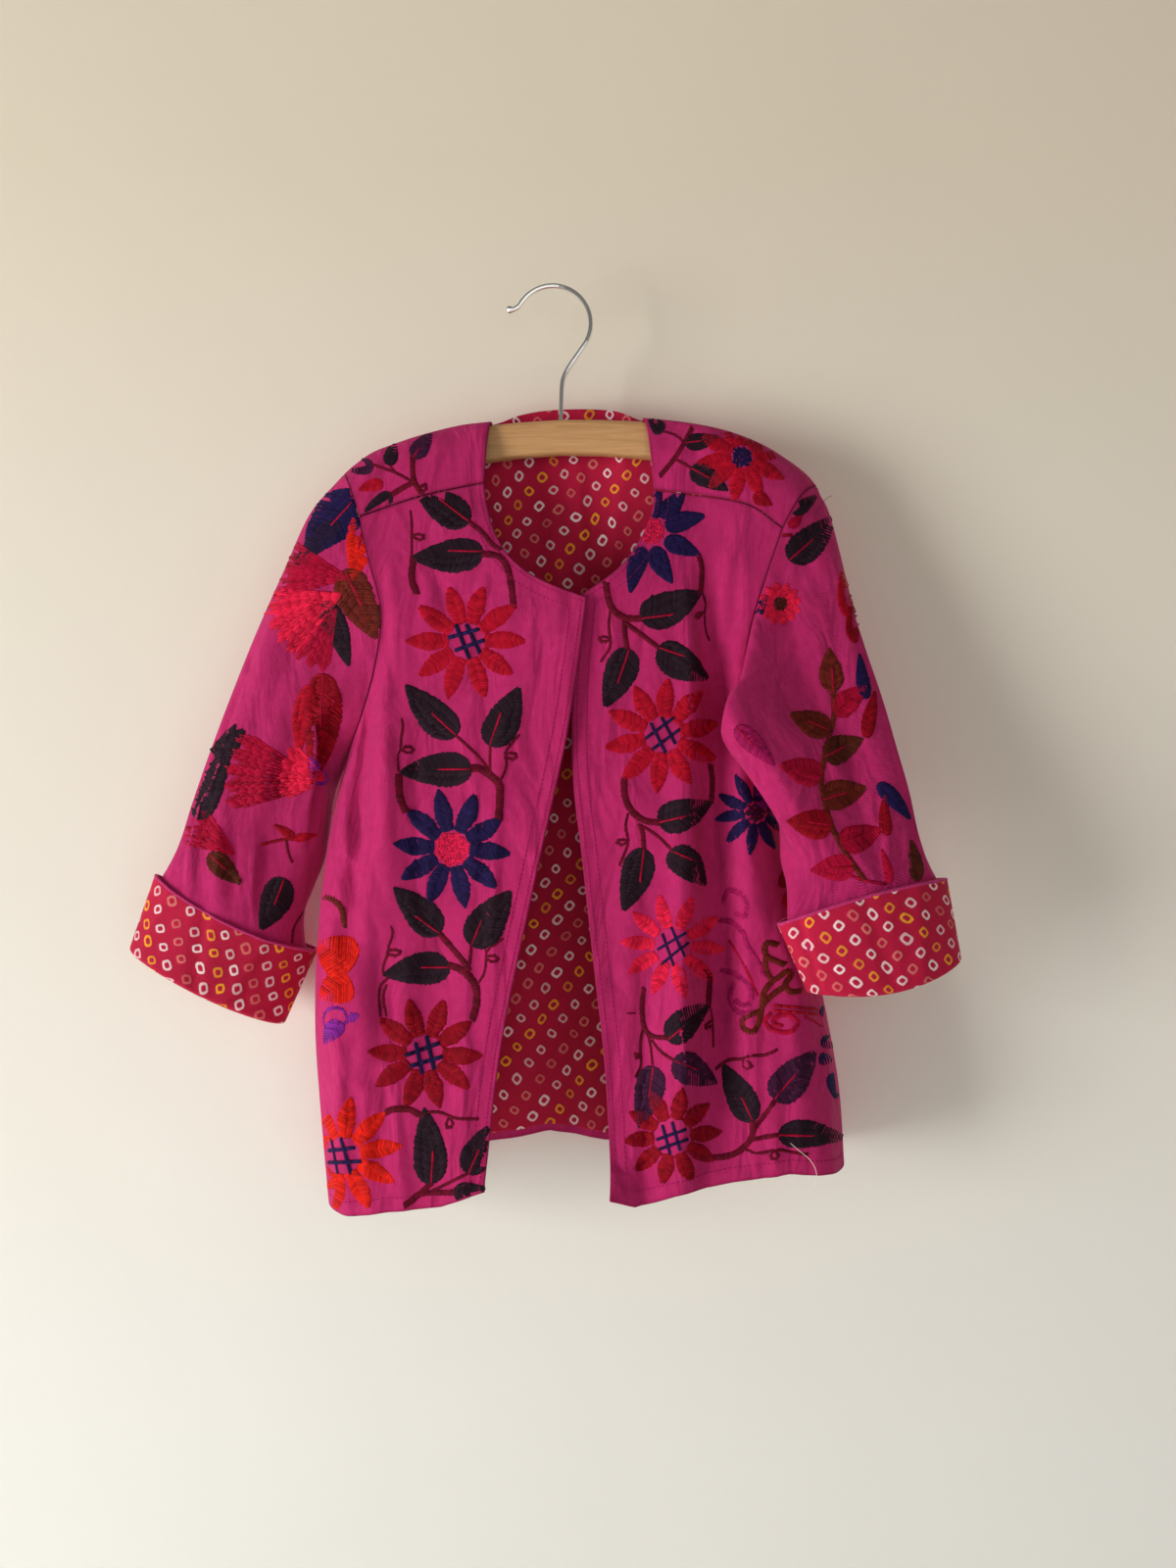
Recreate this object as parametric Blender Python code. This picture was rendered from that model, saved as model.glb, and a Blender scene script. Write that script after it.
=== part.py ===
"""A child's embroidered open-front jacket hanging on a small wooden hanger.

The cloth is one garment surface, cut into the panels that a maker would sew: two fronts, two shoulder
yokes, a back, a back lining, two sleeves and two turned-back cuffs. Neighbouring panels share the points
of their seam, and each panel is then given its thickness inwards. Right and left are the wearer's:
+X is to the wearer's left, -Y is the front, +Z is up. The origin is where a peg holds the hook.
"""
import math

import bmesh
import bpy
import numpy as np

# Sizes in millimetres

MM = 0.001
WALL = 1.4
LINING_WALL = 1.0
CUFF_WALL = 1.2
SEAM_GAP = 0.3
FOLDED_SEAM = 0.15
LAYER_GAP = 0.4
LINING_SHORT_AT_HEM = 0.4
LINING_SHORT_AT_NECK = 0.1
LEAST_MITRE = 0.7
STEEPEST_SEAM = 0.97
SHARP_DEG = 70

# Counts of columns and rows in each panel

FRONT_COLUMNS = 12
NECK_COLUMNS = 6
BODY_ROWS = 22
TIP_ROW = 6
ARMPIT_ROW = 8
YOKE_ROWS = 8
RIDGE_FRONT_ROW = 5
RIDGE_BACK_ROW = 6
ARMPIT_POINT = YOKE_ROWS - RIDGE_BACK_ROW + ARMPIT_ROW
SLEEVE_ROWS = 12
CUFF_BAND_ROWS = 4
CUFF_TURN_ROWS = 3
CUFF_INSIDE_ROWS = 1

# Edges of the panels, as x, y, z in mm, from the neck or the armhole downwards

NECKLINE = {
    "right": [(-42.8, -15, -126.3), (-40.6, -20, -141.4), (-35.3, -26, -159.0), (-27.2, -30, -173.5),
              (-14.0, -33, -185.3), (2.0, -36, -193.6), (21.1, -39, -201.1)],
    "left": [(62.5, -15, -130.6), (61.6, -20, -143.3), (57.1, -25, -156.4), (51.0, -28, -168.3),
             (43.2, -31, -179.0), (33.6, -33, -187.7), (17.0, -34, -199.1)],
}
FRONT_EDGE = {
    "right": [(21.1, -39, -201.1), (15.8, -41, -243.1), (7.6, -43, -293.2), (-10.4, -46, -375.1),
              (-28.9, -49, -465.0), (-38.0, -52, -539.8), (-39.2, -52, -555.5)],
    "left": [(17.0, -34, -199.1), (12.2, -36, -254.5), (12.3, -39, -307.8), (18.2, -43, -360.7),
             (25.2, -49, -424.3), (31.0, -54, -475.6), (34.3, -60, -531.6), (34.3, -62, -558.5)],
}
YOKE_SEAM_FRONT = {
    "right": [(-42.8, -15, -126.3), (-81.8, -19, -135.8), (-119.8, -20, -148.7)],
    "left": [(62.5, -15, -130.6), (85.9, -18, -134.3), (120.0, -22, -141.3), (141.5, -23, -156.0)],
}
RIDGE = {
    "right": [(-38.6, 0, -85.6), (-59.1, 0, -88.1), (-84.0, 0, -94.3), (-102.6, 0, -100.5),
              (-115.0, 0, -105.5), (-126.2, 0, -113.6), (-132.4, 0, -119.2)],
    "left": [(55.9, 0, -83.2), (83.9, 0, -86.2), (108.7, 0, -91.2), (130.5, 0, -99.3),
             (146.0, 0, -108.6), (158.4, 0, -117.9), (165.9, 0, -126.6)],
}
YOKE_SEAM_BACK = {
    "right": [(-31.5, 10, -81.1), (-45.0, 12, -90.0), (-62.0, 13, -96.5), (-88.0, 13, -105.0),
              (-108.0, 13, -114.0), (-120.0, 13, -122.5), (-128.5, 12, -130.0)],
    "left": [(49.9, 10, -78.5), (64.0, 12, -86.5), (86.0, 13, -93.5), (110.0, 13, -101.5),
             (132.0, 13, -110.5), (148.0, 13, -121.0), (160.0, 12, -134.0)],
}
BACK_NECK = [(-31.5, 10, -81.1), (-22.3, 13, -76.8), (-3.6, 15, -73.1), (21.7, 16, -72.1),
             (40.6, 14, -74.2), (49.9, 10, -78.5)]
ARMHOLE_FRONT = {
    "right": [(-119.8, -20, -148.7), (-111.3, -27, -178.9), (-104.6, -30, -203.3), (-104.8, -30, -221.2),
              (-110.3, -26, -247.7), (-119.7, -17, -274.3), (-128.8, -4, -292.1)],
    "left": [(141.5, -23, -156.0), (130.0, -28, -188.7), (121.0, -30, -219.1), (118.0, -27, -248.4),
             (122.0, -19, -274.6), (131.2, -6, -295.3)],
}
ARMHOLE_BACK = {
    "right": [(-128.5, 12, -130.0), (-121.0, 17, -165.0), (-116.0, 19, -205.0), (-117.5, 18, -245.0),
              (-121.5, 12, -275.0), (-128.8, -4, -292.1)],
    "left": [(160.0, 12, -134.0), (146.0, 17, -165.0), (133.0, 19, -208.0), (125.0, 18, -248.0),
             (127.0, 10, -278.0), (131.2, -6, -295.3)],
}
SIDE_SEAM = {
    "right": [(-128.8, -4, -292.1), (-140.0, -8, -345.0), (-147.0, -9, -405.0), (-148.7, -9, -460.8),
              (-145.7, -9, -509.9), (-140.1, -9, -572.4)],
    "left": [(131.2, -6, -295.3), (144.8, -6, -344.5), (157.2, -5, -393.8), (168.5, -4, -443.3),
             (179.0, -2, -500.0), (182.5, -2, -550.0)],
}

# Hem heights, as x, z in mm, of the parts of the hem that are not straight

HEM_HEIGHT = {
    "right": [(-140.1, -572.4), (-124.1, -572.6), (-94.6, -567.7), (-65.4, -564.5), (-39.2, -555.5)],
    "left": [(34.3, -558.5), (50.4, -562.0), (73.2, -553.9), (107.1, -548.1), (139.8, -544.0),
             (166.8, -546.5), (182.5, -550.0)],
    "back": [(-140.1, -572.4), (-100.0, -561.0), (-43.9, -546.2), (-3.8, -539.1), (33.2, -545.5),
             (110.0, -551.0), (182.5, -550.0)],
}

# How deep the body stands at each height, and how it turns at its sides:
# row share from the top, right front y, left front y, back y, width of the corner in mm, turn in degrees

BODY_DEPTH = [
    (0.00, -20, -22, 14, 16, 20),
    (0.10, -27, -27, 18, 26, 22),
    (0.20, -31, -31, 19, 36, 32),
    (0.28, -34, -33, 20, 42, 52),
    (0.36, -37, -35, 21, 42, 72),
    (0.46, -40, -39, 21, 38, 80),
    (0.60, -43, -45, 22, 36, 84),
    (1.00, -50, -55, 24, 34, 84),
]
FRONT_SAMPLES = 241
BACK_SAMPLES = 361
FLAT_SHARE_OF_CORNER = 0.6
BACK_CORNER_SHARE = 0.7
YOKE_BACK_TURN = math.radians(70)

# Creases of the body panels, raised along -Y on the fronts and +Y on the back:
# panel, top x, top z, bottom x, bottom z, half width, rise in mm

BODY_CREASES = [
    ("right", -92, -150, -94, -375, 22, 2.5),
    ("right", -128, -400, -96, -510, 18, 4.5),
    ("right", -62, -300, -70, -520, 20, -3.0),
    ("left", 73, -350, 74, -600, 20, 6.0),
    ("left", 103, -150, 104, -540, 18, -6.0),
    ("left", 139, -370, 146, -560, 22, 5.0),
    ("back", 4, -100, 8, -300, 20, -3.5),
    ("back", -70, -300, -84, -620, 24, 5.0),
    ("back", -20, -360, -26, -620, 22, -4.0),
    ("back", 48, -330, 58, -620, 24, 5.5),
    ("back", 112, -300, 124, -620, 24, -4.0),
]

# Sections of the sleeves above the cuff:
# outer x, y, z, inner x, y, z, depth to the front and to the back, sag of the middle, and how far
# the front laps over the body, all in mm

SLEEVE_SECTIONS = {
    "right": [
        (-153.1, 0, -141.4, -133.5, -1, -303.0, 27, 20, 0, 0),
        (-169.8, -3, -179.1, -136.5, 2, -311.0, 27, 19, 0, 0),
        (-186.3, -6, -218.3, -139.5, 4, -322.0, 26, 18, 0, 0),
        (-200.8, -9, -256.7, -142.0, 4, -339.0, 24, 18, 0, 0),
        (-214.3, -11, -294.2, -145.5, 4, -361.0, 22, 18, 0, 0),
        (-224.7, -13, -325.9, -152.5, 4, -379.0, 20, 17, 0, 0),
        (-234.1, -14, -355.1, -158.8, 4, -398.0, 19, 16, -3, 0),
    ],
    "left": [
        (172.5, 0, -137.5, 133.5, -8, -302.0, 26, 20, 0, 24),
        (177.0, -4, -155.0, 135.5, -10, -306.0, 26, 19, 0, 30),
        (183.0, -10, -185.0, 137.0, -15, -312.0, 24, 17, 0, 30),
        (191.0, -17, -224.0, 138.0, -22, -320.0, 22, 16, 0, 26),
        (200.9, -24, -262.6, 138.0, -30, -331.0, 21, 15, 0, 20),
        (208.6, -32, -298.8, 137.0, -40, -344.0, 20, 14, 0, 13),
        (216.1, -40, -331.4, 136.0, -50, -359.0, 20, 14, 0, 6),
        (222.7, -46, -358.0, 138.0, -60, -374.0, 19, 13, 2, 0),
    ],
}
LAP_START_DEG = 190
LAP_END_DEG = 275
LAP_FORWARD = 1.1

# Creases of the sleeves: side, turn round the sleeve in degrees from its outer line by way of the back,
# at the start and the end, share of the sleeve's length at the start and the end, half width in
# degrees, rise in mm

SLEEVE_CREASES = [
    ("right", 318, 305, 0.10, 0.95, 24, 4.0),
    ("right", 262, 250, 0.25, 0.95, 22, -3.0),
    ("right", 228, 222, 0.12, 0.60, 20, 3.0),
    ("left", 322, 318, 0.12, 0.90, 24, 4.0),
    ("left", 290, 285, 0.30, 0.95, 20, -3.0),
    ("left", 236, 262, 0.12, 0.55, 24, 4.0),
    ("left", 200, 214, 0.30, 0.95, 18, -2.5),
]

# The two end sections of each cuff, its top edge and its fold, in the columns of SLEEVE_SECTIONS

CUFF_SECTIONS = {
    "right": [
        (-247.2, -15, -370.3, -150.7, 6, -419.5, 20, 18, -6, 0),
        (-262.4, -15, -414.1, -170.5, 5, -464.0, 20, 18, -3, 0),
    ],
    "left": [
        (233.9, -50, -370.1, 131.8, -67, -395.3, 22, 20, 4, 0),
        (241.5, -52, -415.0, 148.0, -69, -432.5, 20, 18, -8, 0),
    ],
}
CUFF_FOLD_RADIUS = 3.0
CUFF_INSIDE = 12.0
SLEEVE_INSET_UNDER_CUFF = 2.3
SLEEVE_INSET_AT_END = 2.2
SLEEVE_END_LIFT = 3.5

# The hanger: half outline of the wooden bar as distance from the middle, top and height in mm

BAR_MIDDLE = (4.3, -84.0)
BAR_TILT = math.radians(1.8)
BAR_THICKNESS = 12.0
BAR_SQUARENESS = 4.0
BAR_OUTLINE = [
    (0.0, 0.0, 21.5),
    (20.0, -0.5, 21.7),
    (43.0, -2.1, 22.5),
    (63.0, -4.1, 23.0),
    (88.0, -9.4, 22.5),
    (107.0, -15.1, 20.5),
    (119.0, -20.2, 18.0),
    (129.0, -27.6, 13.0),
    (134.0, -33.0, 7.0),
]
BAR_SAMPLES = 81
BAR_END_SHARE = 0.8
BAR_STATIONS = 16
BAR_SIDES = 16

# The hook: a bent wire in the plane y = 0

WIRE_RADIUS = 1.55
WIRE_SIDES = 8
HOOK_CENTRE = (-0.6, -22.4)
HOOK_RADIUS = 24.0
HOOK_START_DEG = -37
HOOK_END_DEG = 144
HOOK_ARC_STEPS = 20
HOOK_SHANK = [(3.9, -95.0), (4.4, -84.0), (4.8, -70.0), (5.4, -59.5), (7.8, -52.9), (12.8, -44.9)]
HOOK_TIP = [(-22.3, -11.6), (-25.2, -13.3)]
TIP_BALL = (-27.9, -13.6)
TIP_BALL_RADIUS = 2.4
TIP_BALL_RINGS = 6
TIP_BALL_CLOSES = math.pi * 0.93
SOCKET_CLEARANCE = 0.3
SOCKET_DEPTH = 13.0


# Curves

def smooth(share):
    """A step from 0 to 1 with level ends."""
    share = np.clip(share, 0.0, 1.0)
    return share * share * (3.0 - 2.0 * share)


def at_shares(path, shares):
    """The points at the given shares of a path's length."""
    steps = np.linalg.norm(np.diff(path, axis=0), axis=1)
    length = np.concatenate([[0.0], np.cumsum(steps)])
    wanted = np.asarray(shares) * length[-1]
    return np.column_stack([np.interp(wanted, length, path[:, axis]) for axis in range(path.shape[1])])


def through(points, steps=12):
    """A smooth curve through points, sampled finely between each two."""
    knots = np.array(points, dtype=float)
    knots = np.vstack([2 * knots[0] - knots[1], knots, 2 * knots[-1] - knots[-2]])
    fine = []
    for before, start, end, after in zip(knots, knots[1:], knots[2:], knots[3:]):
        for step in range(steps):
            t = step / steps
            fine.append(0.5 * (2 * start + (end - before) * t
                               + (2 * before - 5 * start + 4 * end - after) * t ** 2
                               + (3 * start - before - 3 * end + after) * t ** 3))
    fine.append(knots[-2])
    return np.array(fine)


def spline(points, shares):
    return at_shares(through(points), shares)


def two_part(first, second, split, shares):
    """Points along an edge whose first part ends, and whose second starts, at the share split."""
    shares = np.asarray(shares)
    above = spline(first, np.clip(shares / split, 0, 1))
    below = spline(second, np.clip((shares - split) / (1 - split), 0, 1))
    return np.where((shares <= split)[:, None], above, below)


# Body panels

def depth_at(share):
    """Right front, left front and back depth, corner width and turn at a share of the height."""
    table = np.array(BODY_DEPTH)
    right, left, back, width, turn = (np.interp(share, table[:, 0], table[:, column])
                                      for column in range(1, table.shape[1]))
    return {"right": right, "left": left, "back": back, "width": width, "turn": math.radians(turn)}


def corner(distance, width, turn):
    """How far, 0 to 1, a row has turned towards its end, from the distance left to that end."""
    reach = math.sin(turn)
    t = np.clip(1.0 - distance / width, 0.0, 1.0) * reach
    return (1.0 - np.sqrt(1.0 - t * t)) / (1.0 - math.sqrt(1.0 - reach * reach))


def front_row(start, end, flat, width, turn, columns):
    """One row of a front: level cloth from its edge, then a round turn to its seam."""
    share = (1.0 - np.cos(np.linspace(0.0, math.pi, FRONT_SAMPLES))) / 2.0
    path = start + (end - start) * share[:, None]
    across = abs(end[0] - start[0])
    level = start[1] + (flat - start[1]) * smooth(share / (1.0 - FLAT_SHARE_OF_CORNER * width / across))
    path[:, 1] = level + (end[1] - level) * corner((1.0 - share) * across, width, turn)
    return at_shares(path, np.linspace(0.0, 1.0, columns + 1))


def back_row(start, end, flat, width, turn, shares):
    """One row of the back, which turns at both sides."""
    share = (1.0 - np.cos(np.linspace(0.0, math.pi, BACK_SAMPLES))) / 2.0
    path = start + (end - start) * share[:, None]
    across = abs(end[0] - start[0])
    near = corner(share * across, width, turn)
    far = corner((1.0 - share) * across, width, turn)
    path[:, 1] = flat + (start[1] - flat) * near + (end[1] - flat) * far
    return at_shares(path, shares)


def set_hem(grid, heights):
    """Moves the lower rows of a body panel so that its last row has the hem's heights."""
    table = np.array(sorted(heights))
    change = np.interp(grid[-1, :, 0], table[:, 0], table[:, 1]) - grid[-1, :, 2]
    shares = np.linspace(0.0, 1.0, len(grid))
    grid[:, :, 2] += shares[:, None] ** 2 * change[None, :]


def crease(grid, panel, held):
    """Raises and sinks a body panel along its creases, held at the seams."""
    away = 1.0 if panel == "back" else -1.0
    for name, top_x, top_z, low_x, low_z, half_width, rise in BODY_CREASES:
        if name != panel:
            continue
        start = np.array([top_x, top_z], dtype=float)
        along = np.array([low_x, low_z]) - start
        length = np.linalg.norm(along)
        offset = grid[:, :, [0, 2]] - start
        run = offset @ along / length ** 2
        aside = np.abs(offset[:, :, 0] * along[1] - offset[:, :, 1] * along[0]) / length
        hump = np.clip(1.0 - (aside / half_width) ** 2, 0.0, 1.0) ** 2
        fade = smooth(run / 0.3) * smooth((1.0 - run) / 0.3)
        grid[:, :, 1] += away * rise * hump * fade * held


def front_panel(side):
    shares = np.linspace(0.0, 1.0, BODY_ROWS + 1)
    inner = two_part(NECKLINE[side], FRONT_EDGE[side], TIP_ROW / BODY_ROWS, shares)
    outer = two_part(ARMHOLE_FRONT[side], SIDE_SEAM[side], ARMPIT_ROW / BODY_ROWS, shares)
    rows = []
    for share, start, end in zip(shares, inner, outer):
        depth = depth_at(share)
        rows.append(front_row(start, end, depth[side], depth["width"], depth["turn"], FRONT_COLUMNS))
    grid = np.array(rows)
    columns = np.linspace(0.0, 1.0, FRONT_COLUMNS + 1)
    change = spline(YOKE_SEAM_FRONT[side], columns) - grid[0]
    grid += (1.0 - shares[:, None, None]) ** 3 * change[None, :, :]
    set_hem(grid, HEM_HEIGHT[side])
    held = smooth(shares / 0.12)[:, None] * smooth((1.0 - columns) / 0.16)[None, :]
    crease(grid, side, held)
    return grid


def yoke_panel(side, front_seam):
    """From the front seam over the ridge, level where it lies on the bar, to the back seam."""
    columns = np.linspace(0.0, 1.0, FRONT_COLUMNS + 1)
    ridge = spline(RIDGE[side], columns)
    back_seam = spline(YOKE_SEAM_BACK[side], columns)
    level = np.array([0.0, BAR_THICKNESS / 3.0, 0.0])
    rows = []
    for row in range(YOKE_ROWS + 1):
        if row <= RIDGE_FRONT_ROW:
            turn = math.pi / 2 * row / RIDGE_FRONT_ROW
            top = ridge - level
            point = top + (front_seam - top) * np.array([1.0, math.cos(turn), 1.0])
            point[:, 2] = front_seam[:, 2] + (top[:, 2] - front_seam[:, 2]) * math.sin(turn)
            point[:, 0] = front_seam[:, 0] + (top[:, 0] - front_seam[:, 0]) * turn / (math.pi / 2)
        else:
            turn = YOKE_BACK_TURN * (row - RIDGE_BACK_ROW) / (YOKE_ROWS - RIDGE_BACK_ROW)
            top = ridge + level
            round_share = math.sin(turn) / math.sin(YOKE_BACK_TURN)
            drop_share = (1.0 - math.cos(turn)) / (1.0 - math.cos(YOKE_BACK_TURN))
            point = top + (back_seam - top) * round_share
            falling = top[:, 2] + (back_seam[:, 2] - top[:, 2]) * drop_share
            point[:, 2] = np.maximum(point[:, 2], falling)
        rows.append(point)
    return np.array(rows)


def back_panel():
    shares = np.linspace(0.0, 1.0, BODY_ROWS + 1)
    right, left = (two_part(ARMHOLE_BACK[side], SIDE_SEAM[side], ARMPIT_ROW / BODY_ROWS, shares)
                   for side in ("right", "left"))
    seam = np.linspace(1.0, 0.0, FRONT_COLUMNS + 1)
    neck = np.linspace(0.0, 1.0, NECK_COLUMNS + 1)
    top = np.vstack([spline(YOKE_SEAM_BACK["right"], seam), spline(BACK_NECK, neck)[1:-1],
                     spline(YOKE_SEAM_BACK["left"], seam[::-1])])
    steps = np.linalg.norm(np.diff(top[:, [0]], axis=0), axis=1)
    spread = np.concatenate([[0.0], np.cumsum(steps)]) / steps.sum()
    rows = []
    for share, start, end in zip(shares, right, left):
        depth = depth_at(share)
        width = depth["width"] * BACK_CORNER_SHARE
        rows.append(back_row(start, end, depth["back"], width, depth["turn"], spread))
    grid = np.array(rows)
    change = top - grid[0]
    ease = np.column_stack([1.0 - shares, (1.0 - shares) ** 6, 1.0 - shares])
    grid += ease[:, None, :] * change[None, :, :]
    set_hem(grid, HEM_HEIGHT["back"])
    held = (smooth(shares / 0.10)[:, None] * smooth(spread / 0.1)[None, :]
            * smooth((1.0 - spread) / 0.1)[None, :])
    crease(grid, "back", held)
    return grid


# Sleeves and cuffs

def ring_turns(count_back, count_front):
    """Turn of each point of a ring: from the ridge by the back to the armpit, and on by the front."""
    back = np.linspace(0.0, math.pi, count_back + 1)[:-1]
    front = np.linspace(math.pi, 2.0 * math.pi, count_front + 1)[:-1]
    return np.concatenate([back, front])


def section(row, turns, run, inset=0.0):
    """One oval section of a sleeve or cuff, between its outer and inner silhouette points.

    Its depth stands square to the cloth, which runs on as given at the outer and at the inner point.
    """
    outer, inner = np.array(row[0:3], dtype=float), np.array(row[3:6], dtype=float)
    front, back, sag, lap = row[6:10]
    across = outer - inner
    reach = 1.0 - 2.0 * inset / np.linalg.norm(across)
    share = (1.0 + np.cos(turns)[:, None]) / 2.0
    square = np.cross(across, share * run[0] + (1.0 - share) * run[1]) * math.copysign(1.0, across[0])
    square /= np.linalg.norm(square, axis=1, keepdims=True)
    depth = np.where(np.sin(turns) > 0.0, back, front) - inset
    points = (outer + inner) / 2.0 + np.cos(turns)[:, None] * across * reach / 2.0
    points += (np.sin(turns) * depth)[:, None] * square
    points[:, 2] += np.sin(turns) ** 2 * sag
    lapped = lap * lap_share(np.degrees(turns))
    points[:, 0] -= lapped * math.copysign(1.0, across[0])
    points[:, 1] -= lapped * LAP_FORWARD
    return points


def lap_share(degrees):
    """Rises from 0 at the underarm to 1 at the fold, and falls to 0 again before the front's middle."""
    middle = (LAP_START_DEG + LAP_END_DEG) / 2.0
    half = (LAP_END_DEG - LAP_START_DEG) / 2.0
    return smooth((1.0 - np.abs(degrees - middle) / half) * 1.2)


def armhole_loop(front, yoke, back_edge):
    """The armhole's points in the order of ring_turns, from the ridge by the back."""
    loop = [yoke[row, -1] for row in range(RIDGE_BACK_ROW, YOKE_ROWS)]
    loop += [back_edge[row] for row in range(ARMPIT_ROW)]
    loop += [front[row, -1] for row in range(ARMPIT_ROW, 0, -1)]
    loop += [yoke[row, -1] for row in range(RIDGE_BACK_ROW)]
    return np.array(loop)


def sleeve_turns():
    return ring_turns(ARMPIT_POINT, ARMPIT_ROW + RIDGE_BACK_ROW)


def hanging_sections(rows, turns, ridge, armpit):
    """The sections of a table, each square to the lines through all outer and all inner points."""
    outer = np.gradient(np.array([ridge] + [row[0:3] for row in rows]), axis=0)
    inner = np.gradient(np.array([armpit] + [row[3:6] for row in rows]), axis=0)
    return [section(row, turns, run) for row, run in zip(rows, zip(outer[1:], inner[1:]))]


def cuff_run(side):
    """The way that a cuff hangs, at its outer and its inner end."""
    top, fold = np.array(CUFF_SECTIONS[side], dtype=float)
    return fold[0:3] - top[0:3], fold[3:6] - top[3:6]


def blend_rows(first, second, share):
    return tuple(a + (b - a) * share for a, b in zip(first, second))


def between_rings(rings, shares):
    """Rings at the given shares of the mean length of a tube that passes smoothly through all rings."""
    fine = np.array([through(rings[:, point]) for point in range(rings.shape[1])]).transpose(1, 0, 2)
    steps = np.linalg.norm(np.diff(fine, axis=0), axis=2).mean(axis=1)
    length = np.concatenate([[0.0], np.cumsum(steps)])
    place = np.interp(shares * length[-1], length, np.arange(len(fine)))
    before = np.minimum(place.astype(int), len(fine) - 2)
    part = (place - before)[:, None, None]
    return fine[before] * (1.0 - part) + fine[before + 1] * part


def sleeve_panel(side, loop):
    turns = sleeve_turns()
    top, fold = CUFF_SECTIONS[side]
    rings = [loop] + hanging_sections(SLEEVE_SECTIONS[side], turns, loop[0], loop[ARMPIT_POINT])
    height = np.linalg.norm(np.array(top[0:3]) - np.array(fold[0:3]))
    places = [(0.25, SLEEVE_INSET_UNDER_CUFF), (0.6, SLEEVE_INSET_UNDER_CUFF),
              (1.0 - SLEEVE_END_LIFT / height, SLEEVE_INSET_AT_END)]
    run = cuff_run(side)
    rings += [section(blend_rows(top, fold, share), turns, run, inset) for share, inset in places]
    shares = np.linspace(0.0, 1.0, SLEEVE_ROWS + 1)
    grid = between_rings(np.array(rings), shares)
    under_cuff = smooth((0.86 - shares) / 0.12)
    for name, turn_start, turn_end, start, end, half_width, rise in SLEEVE_CREASES:
        if name != side:
            continue
        run = (shares - start) / (end - start)
        centre = turn_start + (turn_end - turn_start) * run
        aside = (np.degrees(turns)[None, :] - centre[:, None] + 180.0) % 360.0 - 180.0
        hump = np.clip(1.0 - (aside / half_width) ** 2, 0.0, 1.0) ** 2
        fade = smooth(run / 0.25) * smooth((1.0 - run) / 0.25) * under_cuff
        middle = grid.mean(axis=1, keepdims=True)
        out = grid - middle
        out /= np.linalg.norm(out, axis=2, keepdims=True)
        grid = grid + out * (rise * hump * fade[:, None])[:, :, None]
    return grid


def cuff_panel(side):
    """The turned-back cuff: a band down to the fold, the round fold, and a little way up inside."""
    turns = sleeve_turns()
    top, fold = CUFF_SECTIONS[side]
    run = cuff_run(side)
    rows = [section(blend_rows(top, fold, share), turns, run)
            for share in np.linspace(0.0, 1.0, CUFF_BAND_ROWS + 1)]
    down = np.mean(rows[-1] - rows[0], axis=0)
    down /= np.linalg.norm(down)
    for turn in np.linspace(0.0, math.pi, CUFF_TURN_ROWS + 1)[1:]:
        inset = CUFF_FOLD_RADIUS * (1.0 - math.cos(turn))
        rows.append(section(fold, turns, run, inset) + down * CUFF_FOLD_RADIUS * math.sin(turn))
    turned = rows[-1]
    for share in np.linspace(0.0, 1.0, CUFF_INSIDE_ROWS + 1)[1:]:
        rows.append(turned - down * CUFF_INSIDE * share)
    return np.array(rows)


# Thickness

def grid_faces(rows, columns, closed):
    """Triangles of a grid, as index rows, with the last column joined to the first if closed."""
    width = columns if closed else columns - 1
    faces = []
    for row in range(rows - 1):
        for column in range(width):
            after = (column + 1) % columns
            here, beside = row * columns + column, row * columns + after
            below, across = here + columns, beside + columns
            faces.append((here, beside, across))
            faces.append((here, across, below))
    return faces


def point_key(point):
    return tuple(int(round(value * 1000.0)) for value in point)


def outward(panels):
    """Outward direction and mitre at each point, averaged over all the panels that meet there."""
    sums, counts = {}, {}
    for panel in panels:
        grid = panel["grid"]
        points = grid.reshape(-1, 3)
        for face in grid_faces(grid.shape[0], grid.shape[1], panel["closed"]):
            a, b, c = (points[index] for index in face)
            normal = np.cross(b - a, c - a) * panel["flip"]
            size = np.linalg.norm(normal)
            if size < 1e-9:
                continue
            for index in face:
                key = point_key(points[index])
                sums[key] = sums.get(key, np.zeros(3)) + normal / size
                counts[key] = counts.get(key, 0) + 1
    result = {}
    for key, total in sums.items():
        size = np.linalg.norm(total)
        result[key] = (total / size, 1.0 / max(LEAST_MITRE, size / counts[key]))
    return result


def inner_points(grid, shared, own, depth):
    """The inner side of a panel, mitred at its seams, but square where a seam folds inwards."""
    inner = grid.copy()
    rows, columns = grid.shape[:2]
    for row in range(rows):
        for column in range(columns):
            key = point_key(grid[row, column])
            direction, mitre = shared[key]
            if seam_opening(grid, row, column, direction) > FOLDED_SEAM:
                direction, mitre = own[key]
            inner[row, column] = grid[row, column] - direction * mitre * depth
    return inner


def seam_opening(grid, row, column, direction):
    """How far a panel rises, from its first or last row or column, along the direction at the seam."""
    rows, columns = grid.shape[:2]
    beside = grid[min(max(row, 1), rows - 2), min(max(column, 1), columns - 2)]
    step = beside - grid[row, column]
    length = np.linalg.norm(step)
    return float(step @ direction) / length if length > 0.0 else 0.0


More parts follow.
